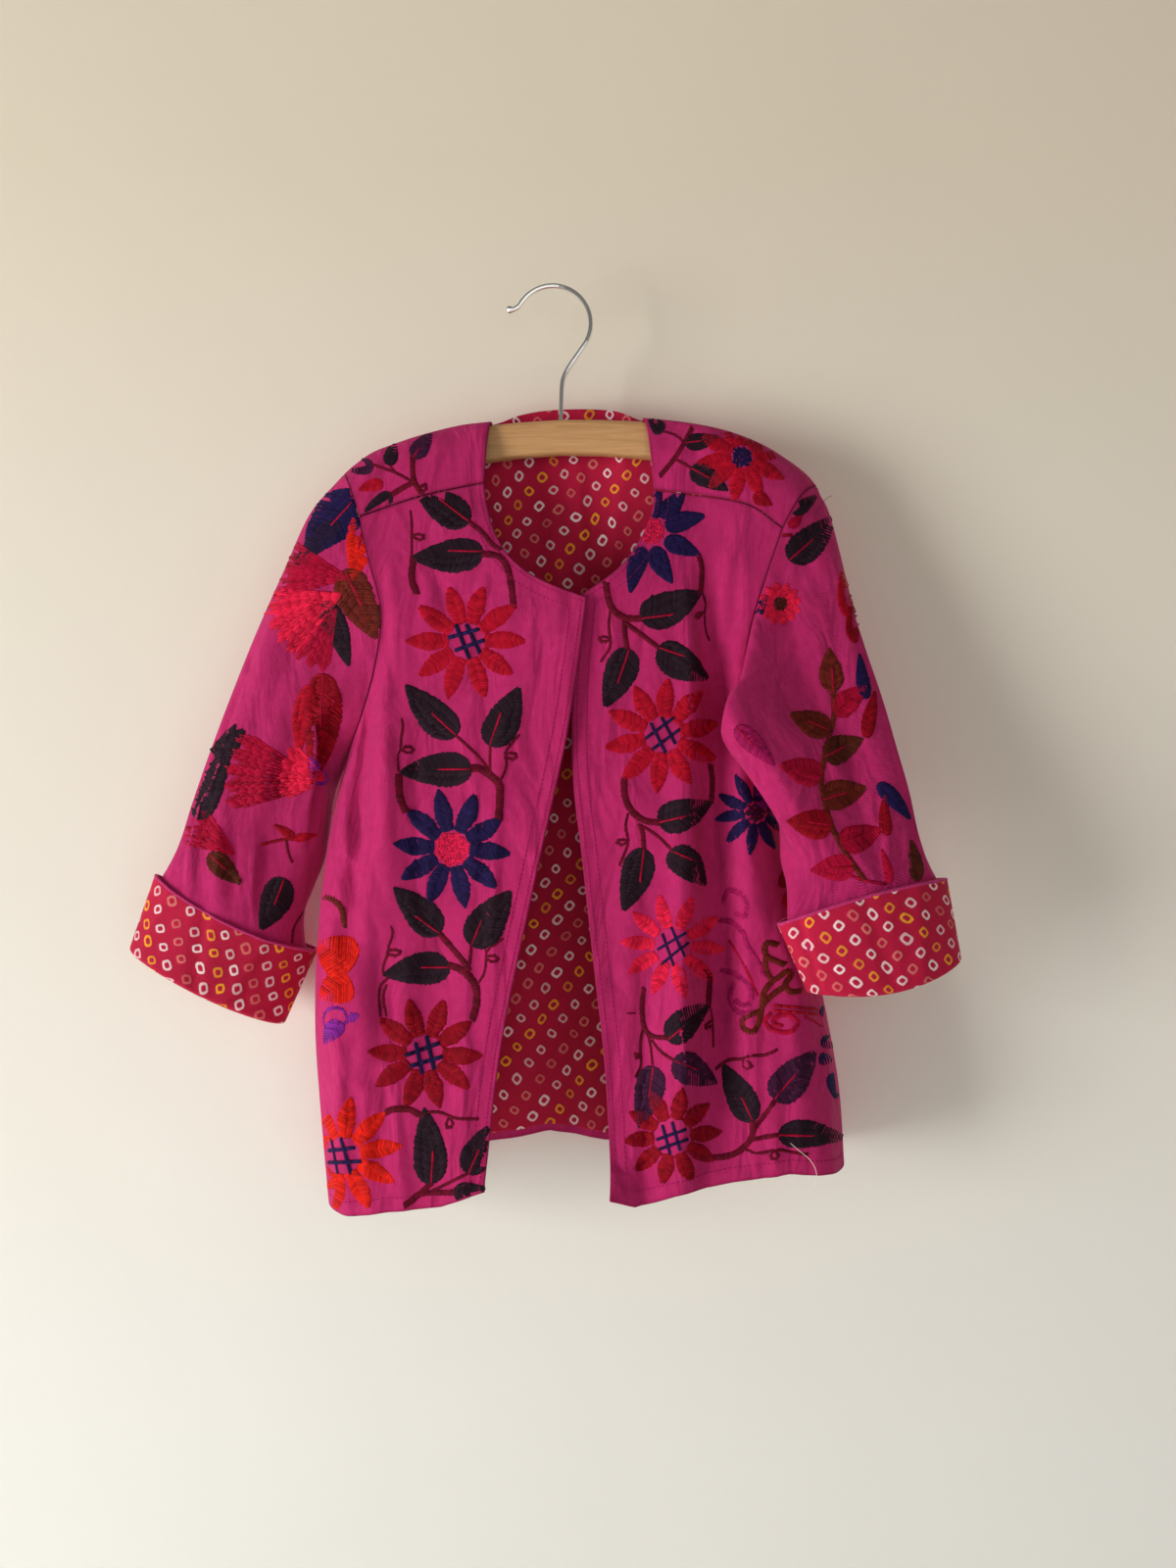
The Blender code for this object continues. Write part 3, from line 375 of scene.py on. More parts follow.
def sewn_shell(name, grid, facing, wall, outside, inside, closed=False):
    """A thin cloth piece with round edges, through a grid of points on its outer side, in mm.

    Its map "cloth" is the flat cloth in metres, and its attribute "edge" is the way to the nearest edge.
    """
    grid = tight_edges(grid, closed)
    rows, columns = grid.shape[:2]
    inner = grid - outward(grid, facing, closed) * wall
    ring = np.concatenate([grid, grid[:, :1]], axis=1) if closed else grid
    across, down = arc_lengths(ring, 1), arc_lengths(ring, 0)
    edge = np.minimum(down, down[-1:] - down)
    if closed:
        flat = np.stack([-facing * across, -down], axis=2)
    else:
        edge = np.minimum(edge, np.minimum(across, across[:, -1:] - across))
        way = np.sign(grid[:, -1:, 0] - grid[:, :1, 0])
        flat = np.stack([grid[:, :1, 0] + way * across, grid[:, :, 2]], axis=2)
    index = np.arange(rows * columns).reshape(rows, columns)
    index = np.concatenate([index, index[:, :1]], axis=1) if closed else index
    faces = np.stack([index[:-1, :-1], index[:-1, 1:], index[1:, 1:], index[1:, :-1]], axis=2).reshape(-1, 4)
    maps = np.stack([flat[:-1, :-1], flat[:-1, 1:], flat[1:, 1:], flat[1:, :-1]], axis=2).reshape(-1, 4, 2)
    count, last = rows * columns, index.shape[1] - 1
    points = [grid.reshape(-1, 3), inner.reshape(-1, 3)]
    top = [(0, column) for column in range(last + 1)]
    right = [(row, last) for row in range(rows)]
    low = [(rows - 1, column) for column in range(last, -1, -1)]
    left = [(row, 0) for row in range(rows - 1, -1, -1)]
    all_faces, all_maps = [faces, faces[:, ::-1] + count], [maps, maps[:, ::-1]]
    slots = [np.zeros(len(faces), int), np.ones(len(faces), int)]
    made = 2 * count
    for loop in ([top, low] if closed else [top + right[1:] + low[1:] + left[1:]]):
        row, column = np.array(loop).T
        at = index[row, column]
        beside = column if closed else np.clip(column, 1, last - 1)
        away = ring[row, column] - ring[np.clip(row, 1, rows - 2), beside]
        away /= np.maximum(np.linalg.norm(away, axis=1, keepdims=True), 1e-9)
        middle = (points[0][at] + points[1][at]) / 2.0 + away * wall * 0.4
        points.append(middle[:-1])
        rim = made + np.append(np.arange(len(loop) - 1), 0)
        made += len(loop) - 1
        spot = flat[row, column]
        strip = np.stack([spot[1:], spot[:-1], spot[:-1], spot[1:]], axis=1)
        all_faces.append(np.column_stack([at[1:], at[:-1], rim[:-1], rim[1:]]))
        all_faces.append(np.column_stack([rim[1:], rim[:-1], at[:-1] + count, at[1:] + count]))
        all_maps += [strip, strip]
        slots += [np.zeros(len(strip), int), np.ones(len(strip), int)]
    faces, maps, slots = np.concatenate(all_faces), np.concatenate(all_maps), np.concatenate(slots)
    if facing < 0:
        faces, maps = faces[:, ::-1], maps[:, ::-1]
    mesh = bpy.data.meshes.new(name)
    mesh.from_pydata((np.concatenate(points) * MM).tolist(), [], faces.tolist())
    mesh.uv_layers.new(name="cloth").uv.foreach_set("vector", (maps * MM).astype(np.float32).ravel())
    mesh.polygons.foreach_set("material_index", slots.astype(np.int32))
    near = edge[:, :columns].ravel() * MM
    values = np.concatenate([near, near, np.zeros(made - 2 * count)]).astype(np.float32)
    mesh.attributes.new("edge", "FLOAT", "POINT").data.foreach_set("value", values)
    mesh.materials.append(outside)
    mesh.materials.append(inside)
    return placed(name, mesh)


def declare_cloth(grid, closed=False):
    """Measures the longest flat way across and down of what shows, and keeps neither."""
    ring = np.concatenate([grid, grid[:, :1]], axis=1) if closed else grid
    across, down = arc_lengths(ring, 1)[:, -1].max() * MM, arc_lengths(ring, 0)[-1].max() * MM


def add_node(tree, kind, inputs=None, **settings):
    """A shader node with its settings, and its inputs given as values or as sockets to link from."""
    made = tree.nodes.new("ShaderNode" + kind)
    for key, value in settings.items():
        setattr(made, key, value)
    for key, value in (inputs or {}).items():
        if isinstance(value, bpy.types.NodeSocket):
            tree.links.new(value, made.inputs[key])
        else:
            made.inputs[key].default_value = value
    return made


def maths(tree, operation, *values, clamp=False):
    return add_node(tree, "Math", dict(enumerate(values)), operation=operation, use_clamp=clamp).outputs[0]


def mixed(tree, share, first, second, blend="MIX"):
    """The colour between two colours."""
    return add_node(tree, "Mix", {0: share, 6: first, 7: second}, data_type="RGBA",
                    blend_type=blend).outputs[2]


def shader_group(name, inputs, outputs):
    """An empty node group with float inputs that have defaults, and float outputs."""
    tree = bpy.data.node_groups.new(name, "ShaderNodeTree")
    for label, value in inputs.items():
        tree.interface.new_socket(label, in_out="INPUT", socket_type="NodeSocketFloat").default_value = value
    for label in outputs:
        tree.interface.new_socket(label, in_out="OUTPUT", socket_type="NodeSocketFloat")
    return tree, tree.nodes.new("NodeGroupInput").outputs, tree.nodes.new("NodeGroupOutput").inputs


def use_group(tree, group, **values):
    made = tree.nodes.new("ShaderNodeGroup")
    made.node_tree = group
    for key, value in values.items():
        made.inputs[key].default_value = value
    return made.outputs


def weave_group():
    """Fine ribs along the cloth's diagonal, crossed by its threads, with slubs along them. Its Shade is
    painted shade from that relief: darker in the hollows, lighter on ribs and slubs.
    """
    tree, given, result = shader_group("weave", {"Pitch": 0.0012, "Slant": 1.0}, ("Shade", "Height"))
    place = add_node(tree, "SeparateXYZ", {0: add_node(tree, "UVMap", uv_map="cloth").outputs[0]}).outputs
    turn = maths(tree, "ADD", place[0], maths(tree, "MULTIPLY", place[1], given["Slant"]))
    turn = maths(tree, "MULTIPLY", maths(tree, "DIVIDE", turn, given["Pitch"]), 2.0 * math.pi)
    thread = maths(tree, "DIVIDE", place[1], maths(tree, "MULTIPLY", given["Pitch"], 0.55))
    warp = maths(tree, "SINE", maths(tree, "MULTIPLY", thread, 2.0 * math.pi))
    stretched = add_node(tree, "CombineXYZ", {0: maths(tree, "MULTIPLY", place[0], 900.0),
                                              1: maths(tree, "MULTIPLY", place[1], 150.0)})
    slub = add_node(tree, "TexNoise", {"Vector": stretched.outputs[0], "Scale": 1.0, "Detail": 2.0})
    height = maths(tree, "MULTIPLY_ADD", maths(tree, "SINE", turn), 0.34, 0.5)
    height = maths(tree, "MULTIPLY_ADD", warp, 0.10, height)
    height = maths(tree, "MULTIPLY_ADD", maths(tree, "SUBTRACT", slub.outputs[0], 0.5), 0.9, height)
    tree.links.new(height, result["Height"])
    tree.links.new(maths(tree, "MULTIPLY_ADD", maths(tree, "SUBTRACT", height, 0.5), 0.5, 1.0),
                   result["Shade"])
    return tree


def dye_and_edge_shade_group():
    """Uneven dyeing, a band along the edges of each piece that carries painted shade, and the soft crumple of
    worn cloth.
    """
    tree, given, result = shader_group("dye_and_edge_shade", {"Band": 0.003},
                                       ("Patches", "Mottle", "Edge shade", "Crumple"))
    place = add_node(tree, "TexCoord").outputs["Object"]
    drawn = add_node(tree, "Mapping", {"Vector": place, "Rotation": (0.0, 0.12, 0.0),
                                       "Scale": (1.0, 1.0, 0.36)})
    crumple = add_node(tree, "TexNoise", {"Vector": drawn.outputs[0], "Scale": 42.0, "Detail": 3.0,
                                          "Roughness": 0.45, "Distortion": 0.5}).outputs[0]
    tree.links.new(crumple, result["Crumple"])
    patches = add_node(tree, "TexNoise", {"Vector": place, "Scale": 18.0, "Detail": 4.0, "Roughness": 0.6})
    mottle = add_node(tree, "TexNoise", {"Vector": place, "Scale": 190.0, "Detail": 3.0, "Roughness": 0.6})
    way = add_node(tree, "Attribute", attribute_name="edge").outputs["Fac"]
    band = maths(tree, "SUBTRACT", 1.0, maths(tree, "DIVIDE", way, given["Band"]), clamp=True)
    tree.links.new(patches.outputs[0], result["Patches"])
    tree.links.new(mottle.outputs[0], result["Mottle"])
    tree.links.new(band, result["Edge shade"])
    return tree


WEAVE = weave_group()
DYE_AND_EDGE_SHADE = dye_and_edge_shade_group()
MAGENTA = (0.50, 0.008, 0.118, 1.0)
MAGENTA_DEEP = (0.33, 0.003, 0.070, 1.0)
MAGENTA_FADED = (0.66, 0.046, 0.225, 1.0)
# The darkest magenta is painted shade, laid in a band along every seam and edge.
MAGENTA_SEAM_SHADE = (0.16, 0.003, 0.035, 1.0)


def blank_material(name):
    made = bpy.data.materials.new(name)
    made.use_nodes = True
    return made, made.node_tree, made.node_tree.nodes["Principled BSDF"]


def cloth_material(name, roughness, sheen, sheen_tint):
    """A cloth material with its shader ready, for a colour and a height to be linked in."""
    made, tree, shader = blank_material(name)
    shader.inputs["Roughness"].default_value = roughness
    shader.inputs["Specular IOR Level"].default_value = 0.25
    shader.inputs["Sheen Weight"].default_value = sheen
    shader.inputs["Sheen Roughness"].default_value = 0.5
    shader.inputs["Sheen Tint"].default_value = sheen_tint
    return made, tree, shader


def shaded(tree, colour, shade, share):
    """A colour made lighter or darker by a value about 1."""
    grey = add_node(tree, "CombineColor", {key: shade for key in range(3)}).outputs[0]
    return mixed(tree, share, colour, grey, blend="MULTIPLY")


def twill_material():
    made, tree, shader = cloth_material("magenta_twill", 0.9, 0.05, (1.0, 0.4, 0.65, 1.0))
    weave = use_group(tree, WEAVE, Pitch=0.00125, Slant=0.85)
    dye_and_shade = use_group(tree, DYE_AND_EDGE_SHADE, Band=0.0016)
    colour = mixed(tree, dye_and_shade["Patches"], MAGENTA_DEEP, MAGENTA)
    colour = mixed(tree, maths(tree, "MULTIPLY", dye_and_shade["Mottle"], 0.4), colour, MAGENTA_FADED)
    # Painted shade: the colour darkens in the hollows of the weave.
    colour = shaded(tree, colour, weave["Shade"], 1.0)
    # Painted shade: the cloth darkens in a narrow band along every seam and edge of each piece.
    colour = mixed(tree, maths(tree, "MULTIPLY", dye_and_shade["Edge shade"], 0.5), colour, MAGENTA_SEAM_SHADE)
    tree.links.new(colour, shader.inputs["Base Color"])
    folds = add_node(tree, "Bump", {"Height": dye_and_shade["Crumple"], "Strength": 0.8, "Distance": 0.013})
    bump = add_node(tree, "Bump", {"Height": weave["Height"], "Strength": 0.6, "Distance": 0.0004,
                                   "Normal": folds.outputs[0]})
    tree.links.new(bump.outputs[0], shader.inputs["Normal"])
    return made


def tied_dots_group():
    """Tied and dyed dots: hollow squares in slanting rows, two rows white, one yellow and one salmon."""
    tree, given, result = shader_group("tied_dots", {"Angle": 0.9, "Along": 0.0115, "Between": 0.008},
                                       ("White", "Yellow", "Salmon", "Pucker"))
    place = add_node(tree, "UVMap", uv_map="cloth").outputs[0]
    wander = add_node(tree, "TexNoise", {"Vector": place, "Scale": 22.0, "Detail": 1.0}).outputs["Color"]
    shift = add_node(tree, "VectorMath", {0: wander, 1: (0.5, 0.5, 0.5)}, operation="SUBTRACT").outputs[0]
    shift = add_node(tree, "VectorMath", {0: shift, "Scale": 0.009}, operation="SCALE").outputs[0]
    place = add_node(tree, "VectorMath", {0: place, 1: shift}, operation="ADD").outputs[0]
    axis = add_node(tree, "VectorRotate", {"Vector": place, "Angle": given["Angle"]},
                    rotation_type="Z_AXIS", invert=True).outputs[0]
    turned = add_node(tree, "SeparateXYZ", {0: axis}).outputs
    down = maths(tree, "DIVIDE", turned[1], given["Between"])
    row = maths(tree, "FLOOR", down)
    stagger = add_node(tree, "TexWhiteNoise", {"W": row}, noise_dimensions="1D").outputs["Value"]
    run = maths(tree, "ADD", maths(tree, "DIVIDE", turned[0], given["Along"]), stagger)
    cell = add_node(tree, "CombineXYZ", {0: row, 1: maths(tree, "FLOOR", run)}).outputs[0]
    chance = add_node(tree, "TexWhiteNoise", {"Vector": cell}).outputs
    jitter = add_node(tree, "SeparateColor", {0: chance["Color"]}).outputs
    aside = maths(tree, "SUBTRACT", maths(tree, "FRACT", run), 0.5)
    aside = maths(tree, "MULTIPLY", aside, given["Along"])
    aside = maths(tree, "ADD", aside, maths(tree, "MULTIPLY_ADD", jitter[0], 0.0014, -0.0007))
    above = maths(tree, "MULTIPLY", maths(tree, "SUBTRACT", maths(tree, "FRACT", down), 0.5),
                  given["Between"])
    above = maths(tree, "ADD", above, maths(tree, "MULTIPLY_ADD", jitter[1], 0.0008, -0.0004))
    squash = maths(tree, "MULTIPLY_ADD", jitter[2], 0.4, 0.78)
    aside = maths(tree, "MULTIPLY", aside, squash)
    sides = [maths(tree, "POWER", maths(tree, "ABSOLUTE", way), 3.0) for way in (aside, above)]
    reach = maths(tree, "POWER", maths(tree, "ADD", *sides), 1.0 / 3.0)
    fuzz = add_node(tree, "TexNoise", {"Vector": place, "Scale": 700.0, "Detail": 2.0}).outputs[0]
    reach = maths(tree, "ADD", reach, maths(tree, "MULTIPLY_ADD", fuzz, 0.0008, -0.0004))
    ring = maths(tree, "DIVIDE", maths(tree, "ABSOLUTE", maths(tree, "SUBTRACT", reach, 0.0022)), 0.00078)
    line = maths(tree, "MULTIPLY", maths(tree, "SUBTRACT", 1.0, ring), 2.6, clamp=True)
    strength = maths(tree, "MULTIPLY_ADD", chance["Value"], 0.45, 0.55)
    line = maths(tree, "MULTIPLY", line, strength)
    kind = maths(tree, "FLOORED_MODULO", row, 4.0)
    yellow = maths(tree, "COMPARE", kind, 1.0, 0.1)
    salmon = maths(tree, "COMPARE", kind, 3.0, 0.1)
    white = maths(tree, "SUBTRACT", 1.0, maths(tree, "ADD", yellow, salmon))
    for label, share in (("White", white), ("Yellow", yellow), ("Salmon", salmon)):
        tree.links.new(maths(tree, "MULTIPLY", line, share), result[label])
    pucker = maths(tree, "SUBTRACT", 1.0, maths(tree, "DIVIDE", reach, 0.0042), clamp=True)
    tree.links.new(maths(tree, "MULTIPLY_ADD", fuzz, 0.25, pucker), result["Pucker"])
    return tree


TIED_DOTS = tied_dots_group()
CRIMSON = (0.56, 0.004, 0.055, 1.0)
CRIMSON_DEEP = (0.33, 0.001, 0.022, 1.0)
DOT_WHITE = (0.86, 0.66, 0.68, 1.0)
DOT_YELLOW = (0.86, 0.36, 0.015, 1.0)
DOT_SALMON = (0.66, 0.17, 0.15, 1.0)


def tied_material(name, row_angle, dot_gap, row_gap):
    """The crimson tied and dyed cotton, its rows of dots at an angle in degrees, gaps in mm."""
    made, tree, shader = cloth_material(name, 0.8, 0.04, (1.0, 0.5, 0.55, 1.0))
    weave = use_group(tree, WEAVE, Pitch=0.0007, Slant=0.0)
    dye_and_shade = use_group(tree, DYE_AND_EDGE_SHADE, Band=0.0015)
    dots = use_group(tree, TIED_DOTS, Angle=math.radians(row_angle), Along=dot_gap * MM, Between=row_gap * MM)
    colour = mixed(tree, dye_and_shade["Patches"], CRIMSON_DEEP, CRIMSON)
    # Painted shade of the weave's hollows, at half strength.
    colour = shaded(tree, colour, weave["Shade"], 0.5)
    colour = mixed(tree, dots["White"], colour, DOT_WHITE)
    colour = mixed(tree, dots["Yellow"], colour, DOT_YELLOW)
    colour = mixed(tree, dots["Salmon"], colour, DOT_SALMON)
    tree.links.new(colour, shader.inputs["Base Color"])
    height = maths(tree, "MULTIPLY_ADD", weave["Height"], 0.2, dots["Pucker"])
    bump = add_node(tree, "Bump", {"Height": height, "Strength": 0.6, "Distance": 0.0007})
    tree.links.new(bump.outputs[0], shader.inputs["Normal"])
    return made


TWILL = twill_material()
TIED_LINING = tied_material("tied_lining", 51.0, 12.2, 11.4)
FACING = {"right": 1.0, "left": -1.0}
fronts = {side: front_panel(side) for side in ("right", "left")}
for side, grid in fronts.items():
    front = sewn_shell("front_" + side + "_cloth", grid, FACING[side], WALL, TWILL, TIED_LINING)
    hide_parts("front_" + side)
    declare_cloth(grid)

# The two shoulder yokes
# Pieces of the same twill from the front seam over the hanger's bar to the seam on the back. They lie
# on the wood and carry the jacket.
YOKE_ROWS = 8 * DETAIL
RIDGE_FRONT_ROW = 5 * DETAIL
RIDGE_BACK_ROW = 6 * DETAIL
YOKE_BACK_TURN = math.radians(70)
BAR_THICKNESS = 12.0
RIDGE = {
    "right": [(-38.6, 0, -85.6), (-59.1, 0, -88.1), (-84.0, 0, -94.3), (-102.6, 0, -100.5),
              (-115.0, 0, -105.5), (-126.2, 0, -113.6), (-132.4, 0, -119.2)],
    "left": [(55.9, 0, -83.2), (83.9, 0, -86.2), (108.7, 0, -91.2), (130.5, 0, -99.3),
             (146.0, 0, -108.6), (158.4, 0, -117.9), (165.9, 0, -126.6)],
}
YOKE_SEAM_BACK = {
    "right": [(-31.5, 10, -81.1), (-45.0, 12, -90.0), (-62.0, 13, -96.5), (-88.0, 13, -105.0),
              (-108.0, 13, -114.0), (-120.0, 13, -122.5), (-128.5, 12, -130.0)],
    "left": [(49.9, 10, -78.5), (64.0, 12, -86.5), (86.0, 13, -93.5), (110.0, 13, -101.5),
             (132.0, 13, -110.5), (148.0, 13, -121.0), (160.0, 12, -134.0)],
}


def yoke_panel(side, front_seam):
    """From the front seam over the ridge, level where it lies on the bar, to the back seam."""
    columns = np.linspace(0.0, 1.0, FRONT_COLUMNS + 1)
    ridge = spline(RIDGE[side], columns)
    back_seam = spline(YOKE_SEAM_BACK[side], columns)
    level = np.array([0.0, BAR_THICKNESS / 3.0, 0.0])
    rows = []
    for row in range(YOKE_ROWS + 1):
        if row <= RIDGE_FRONT_ROW:
            turn = math.pi / 2 * row / RIDGE_FRONT_ROW
            top = ridge - level
            point = top + (front_seam - top) * np.array([1.0, math.cos(turn), 1.0])
            point[:, 2] = front_seam[:, 2] + (top[:, 2] - front_seam[:, 2]) * math.sin(turn)
            point[:, 0] = front_seam[:, 0] + (top[:, 0] - front_seam[:, 0]) * turn / (math.pi / 2)
        elif row < RIDGE_BACK_ROW:
            share = (row - RIDGE_FRONT_ROW) / (RIDGE_BACK_ROW - RIDGE_FRONT_ROW)
            point = ridge + level * (2.0 * share - 1.0)
        else:
            turn = YOKE_BACK_TURN * (row - RIDGE_BACK_ROW) / (YOKE_ROWS - RIDGE_BACK_ROW)
            top = ridge + level
            drop_share = (1.0 - math.cos(turn)) / (1.0 - math.cos(YOKE_BACK_TURN))
            point = top + (back_seam - top) * math.sin(turn) / math.sin(YOKE_BACK_TURN)
            falling = top[:, 2] + (back_seam[:, 2] - top[:, 2]) * drop_share
            point[:, 2] = np.maximum(point[:, 2], falling)
        rows.append(point)
    return np.array(rows)


yokes = {side: yoke_panel(side, fronts[side][0]) for side in ("right", "left")}
for side, grid in yokes.items():
    yoke = sewn_shell("yoke_" + side + "_cloth", grid, -FACING[side], WALL, TWILL, TIED_LINING)
    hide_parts("yoke_" + side)
    declare_cloth(grid)

# The back and its lining
# One broad piece of twill from the yokes to the hem, and inside it the crimson tied and dyed cotton
# that shows through the neck and between the two fronts.
NECK_COLUMNS = 6 * DETAIL
BACK_SAMPLES = 361
BACK_CORNER_SHARE = 0.7
LAYER_GAP = 0.4
LINING_WALL = 1.0
BACK_NECK = [(-31.5, 10, -81.1), (-22.3, 13, -76.8), (-3.6, 15, -73.1), (21.7, 16, -72.1),
             (40.6, 14, -74.2), (49.9, 10, -78.5)]
ARMHOLE_BACK = {
    "right": [(-128.5, 12, -130.0), (-121.0, 17, -165.0), (-116.0, 19, -205.0), (-117.5, 18, -245.0),
              (-121.5, 12, -275.0), (-128.8, -4, -292.1)],
    "left": [(160.0, 12, -134.0), (146.0, 17, -165.0), (133.0, 19, -208.0), (125.0, 18, -248.0),
             (127.0, 10, -278.0), (131.2, -6, -295.3)],
}
# Creases of the lining alone: top x, top z, bottom x, bottom z, half width, rise
LINING_CREASES = [
    (14, -92, 20, -230, 6, 2.2),
    (-2, -120, 4, -220, 7, 1.4),
    (-16, -330, -12, -540, 8, 1.6),
]


def back_row(start, end, flat, width, turn, shares):
    """One row of the back, which turns at both sides."""
    share = (1.0 - np.cos(np.linspace(0.0, math.pi, BACK_SAMPLES))) / 2.0
    path = start + (end - start) * share[:, None]
    across = abs(end[0] - start[0])
    near = corner(share * across, width, turn)
    far = corner((1.0 - share) * across, width, turn)
    path[:, 1] = flat + (start[1] - flat) * near + (end[1] - flat) * far
    return at_shares(path, shares)


def back_panel():
    shares = np.linspace(0.0, 1.0, BODY_ROWS + 1)
    right, left = (two_part(ARMHOLE_BACK[side], SIDE_SEAM[side], ARMPIT_ROW / BODY_ROWS, shares)
                   for side in ("right", "left"))
    seam = np.linspace(1.0, 0.0, FRONT_COLUMNS + 1)
    neck = np.linspace(0.0, 1.0, NECK_COLUMNS + 1)
    top = np.vstack([spline(YOKE_SEAM_BACK["right"], seam), spline(BACK_NECK, neck)[1:-1],
                     spline(YOKE_SEAM_BACK["left"], seam[::-1])])
    steps = np.linalg.norm(np.diff(top[:, [0]], axis=0), axis=1)
    spread = np.concatenate([[0.0], np.cumsum(steps)]) / steps.sum()
    rows = []
    for share, start, end in zip(shares, right, left):
        depth = depth_at(share)
        width = depth["width"] * BACK_CORNER_SHARE
        rows.append(back_row(start, end, depth["back"], width, depth["turn"], spread))
    grid = np.array(rows)
    change = top - grid[0]
    ease = np.column_stack([1.0 - shares, (1.0 - shares) ** 6, 1.0 - shares])
    grid += ease[:, None, :] * change[None, :, :]
    set_hem(grid, HEM_HEIGHT["back"])
    held = (smooth(shares / 0.10)[:, None] * smooth(spread / 0.1)[None, :]
            * smooth((1.0 - spread) / 0.1)[None, :])
    crease(grid, "back", held)
    return grid


back = back_panel()
back_cloth = sewn_shell("back_cloth", back, 1.0, WALL, TWILL, TWILL)
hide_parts("back")
declare_cloth(back)

lining = (back - outward(back, 1.0) * (WALL + LAYER_GAP))[:-1, DETAIL:-DETAIL]
for top_x, top_z, low_x, low_z, half_width, rise in LINING_CREASES:
    run = (lining[:, :, 2] - top_z) / (low_z - top_z)
    aside = np.abs(lining[:, :, 0] - top_x - (low_x - top_x) * run)
    lining[:, :, 1] -= rise * swell(aside, half_width) * faded(run, 0.25)
back_lining = sewn_shell("back_lining_cloth", lining, 1.0, LINING_WALL, TIED_LINING, TIED_LINING)
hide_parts("back_lining")
declare_cloth(lining)

# The two sleeves
# Tubes of twill, wide at the armhole and narrower at the wrist. They hang from the shoulders, and the
# wearer's left one laps forwards over the body.
SLEEVE_ROWS = 60
LAP_START_DEG = 190
LAP_END_DEG = 275
LAP_FORWARD = 1.1
SLEEVE_INSET_UNDER_CUFF = 2.3
SLEEVE_INSET_AT_END = 2.2
SLEEVE_END_LIFT = 3.5
ARMPIT_POINT = YOKE_ROWS - RIDGE_BACK_ROW + ARMPIT_ROW
# Outer x, y, z, inner x, y, z, depth to the front and the back, sag, how far the front laps over
SLEEVE_SECTIONS = {
    "right": [
        (-153.1, 0, -141.4, -133.5, -1, -303.0, 27, 20, 0, 0),
        (-169.8, -3, -179.1, -136.5, 2, -311.0, 27, 19, 0, 0),
        (-186.3, -6, -218.3, -139.5, 4, -322.0, 26, 18, 0, 0),
        (-200.8, -9, -256.7, -142.0, 4, -339.0, 24, 18, 0, 0),
        (-214.3, -11, -294.2, -145.5, 4, -361.0, 22, 18, 0, 0),
        (-224.7, -13, -325.9, -152.5, 4, -379.0, 20, 17, 0, 0),
        (-234.1, -14, -355.1, -158.8, 4, -398.0, 19, 16, -3, 0),
    ],
    "left": [
        (172.5, 0, -137.5, 133.5, -8, -302.0, 26, 20, 0, 24),
        (177.0, -4, -155.0, 135.5, -10, -306.0, 26, 19, 0, 30),
        (183.0, -10, -185.0, 137.0, -15, -312.0, 24, 17, 0, 30),
        (191.0, -17, -224.0, 138.0, -22, -320.0, 22, 16, 0, 26),
        (200.9, -24, -262.6, 138.0, -30, -331.0, 21, 15, 0, 20),
        (208.6, -32, -298.8, 137.0, -40, -344.0, 20, 14, 0, 13),
        (216.1, -40, -331.4, 136.0, -50, -359.0, 20, 14, 0, 6),
        (222.7, -46, -358.0, 138.0, -60, -374.0, 19, 13, 2, 0),
    ],
}
# The two end sections of each cuff, its top edge and its fold, in the same columns
CUFF_SECTIONS = {
    "right": [
        (-247.2, -15, -370.3, -150.7, 6, -419.5, 20, 18, -6, 0),
        (-262.4, -15, -414.1, -170.5, 5, -464.0, 20, 18, -3, 0),
    ],
    "left": [
        (233.9, -50, -370.1, 131.8, -67, -395.3, 22, 20, 4, 0),
        (241.5, -52, -415.0, 148.0, -69, -432.5, 20, 18, -8, 0),
    ],
}
# Turn round the sleeve from the outer line by the back in degrees at the start and the end, share of
# its length at the start and the end, half width in degrees, rise
SLEEVE_CREASES = {
    "right": [
        (318, 305, 0.1, 0.95, 24, 4.0),
        (262, 250, 0.25, 0.95, 22, -3.0),
        (228, 222, 0.12, 0.6, 20, 3.0),
        (214, 230, 0.05, 0.55, 10, -4.6),
        (232, 246, 0.06, 0.42, 8, 3.2),
        (240, 232, 0.2, 0.62, 8, 2.6),
        (276, 290, 0.08, 0.34, 9, -2.6),
        (336, 330, 0.3, 0.7, 9, -2.2),
        (330, 300, 0.6, 0.92, 7, 2.9),
        (316, 286, 0.62, 0.93, 6, -2.6),
        (302, 274, 0.6, 0.92, 7, 2.9),
        (288, 262, 0.64, 0.92, 6, -2.2),
        (270, 248, 0.62, 0.9, 7, 2.6),
        (60, 66, 0.15, 0.8, 16, 2.4),
        (104, 96, 0.25, 0.92, 15, -3.5),
        (138, 130, 0.1, 0.6, 13, 3.2),
        (84, 112, 0.6, 0.92, 9, 2.4),
    ],
    "left": [
        (322, 318, 0.12, 0.9, 24, 4.0),
        (290, 285, 0.3, 0.95, 20, -3.0),
        (236, 262, 0.12, 0.55, 24, 4.0),
        (200, 214, 0.3, 0.95, 18, -2.5),
        (334, 328, 0.24, 0.72, 8, 2.9),
        (300, 312, 0.06, 0.3, 8, -2.2),
        (318, 330, 0.05, 0.28, 7, 1.9),
        (262, 276, 0.34, 0.6, 10, 2.6),
        (300, 280, 0.62, 0.92, 8, 2.6),
        (322, 300, 0.64, 0.92, 7, -2.2),
        (60, 62, 0.15, 0.8, 16, 2.4),
        (100, 94, 0.25, 0.92, 14, -3.2),
        (132, 124, 0.15, 0.6, 12, 2.9),
    ],
}


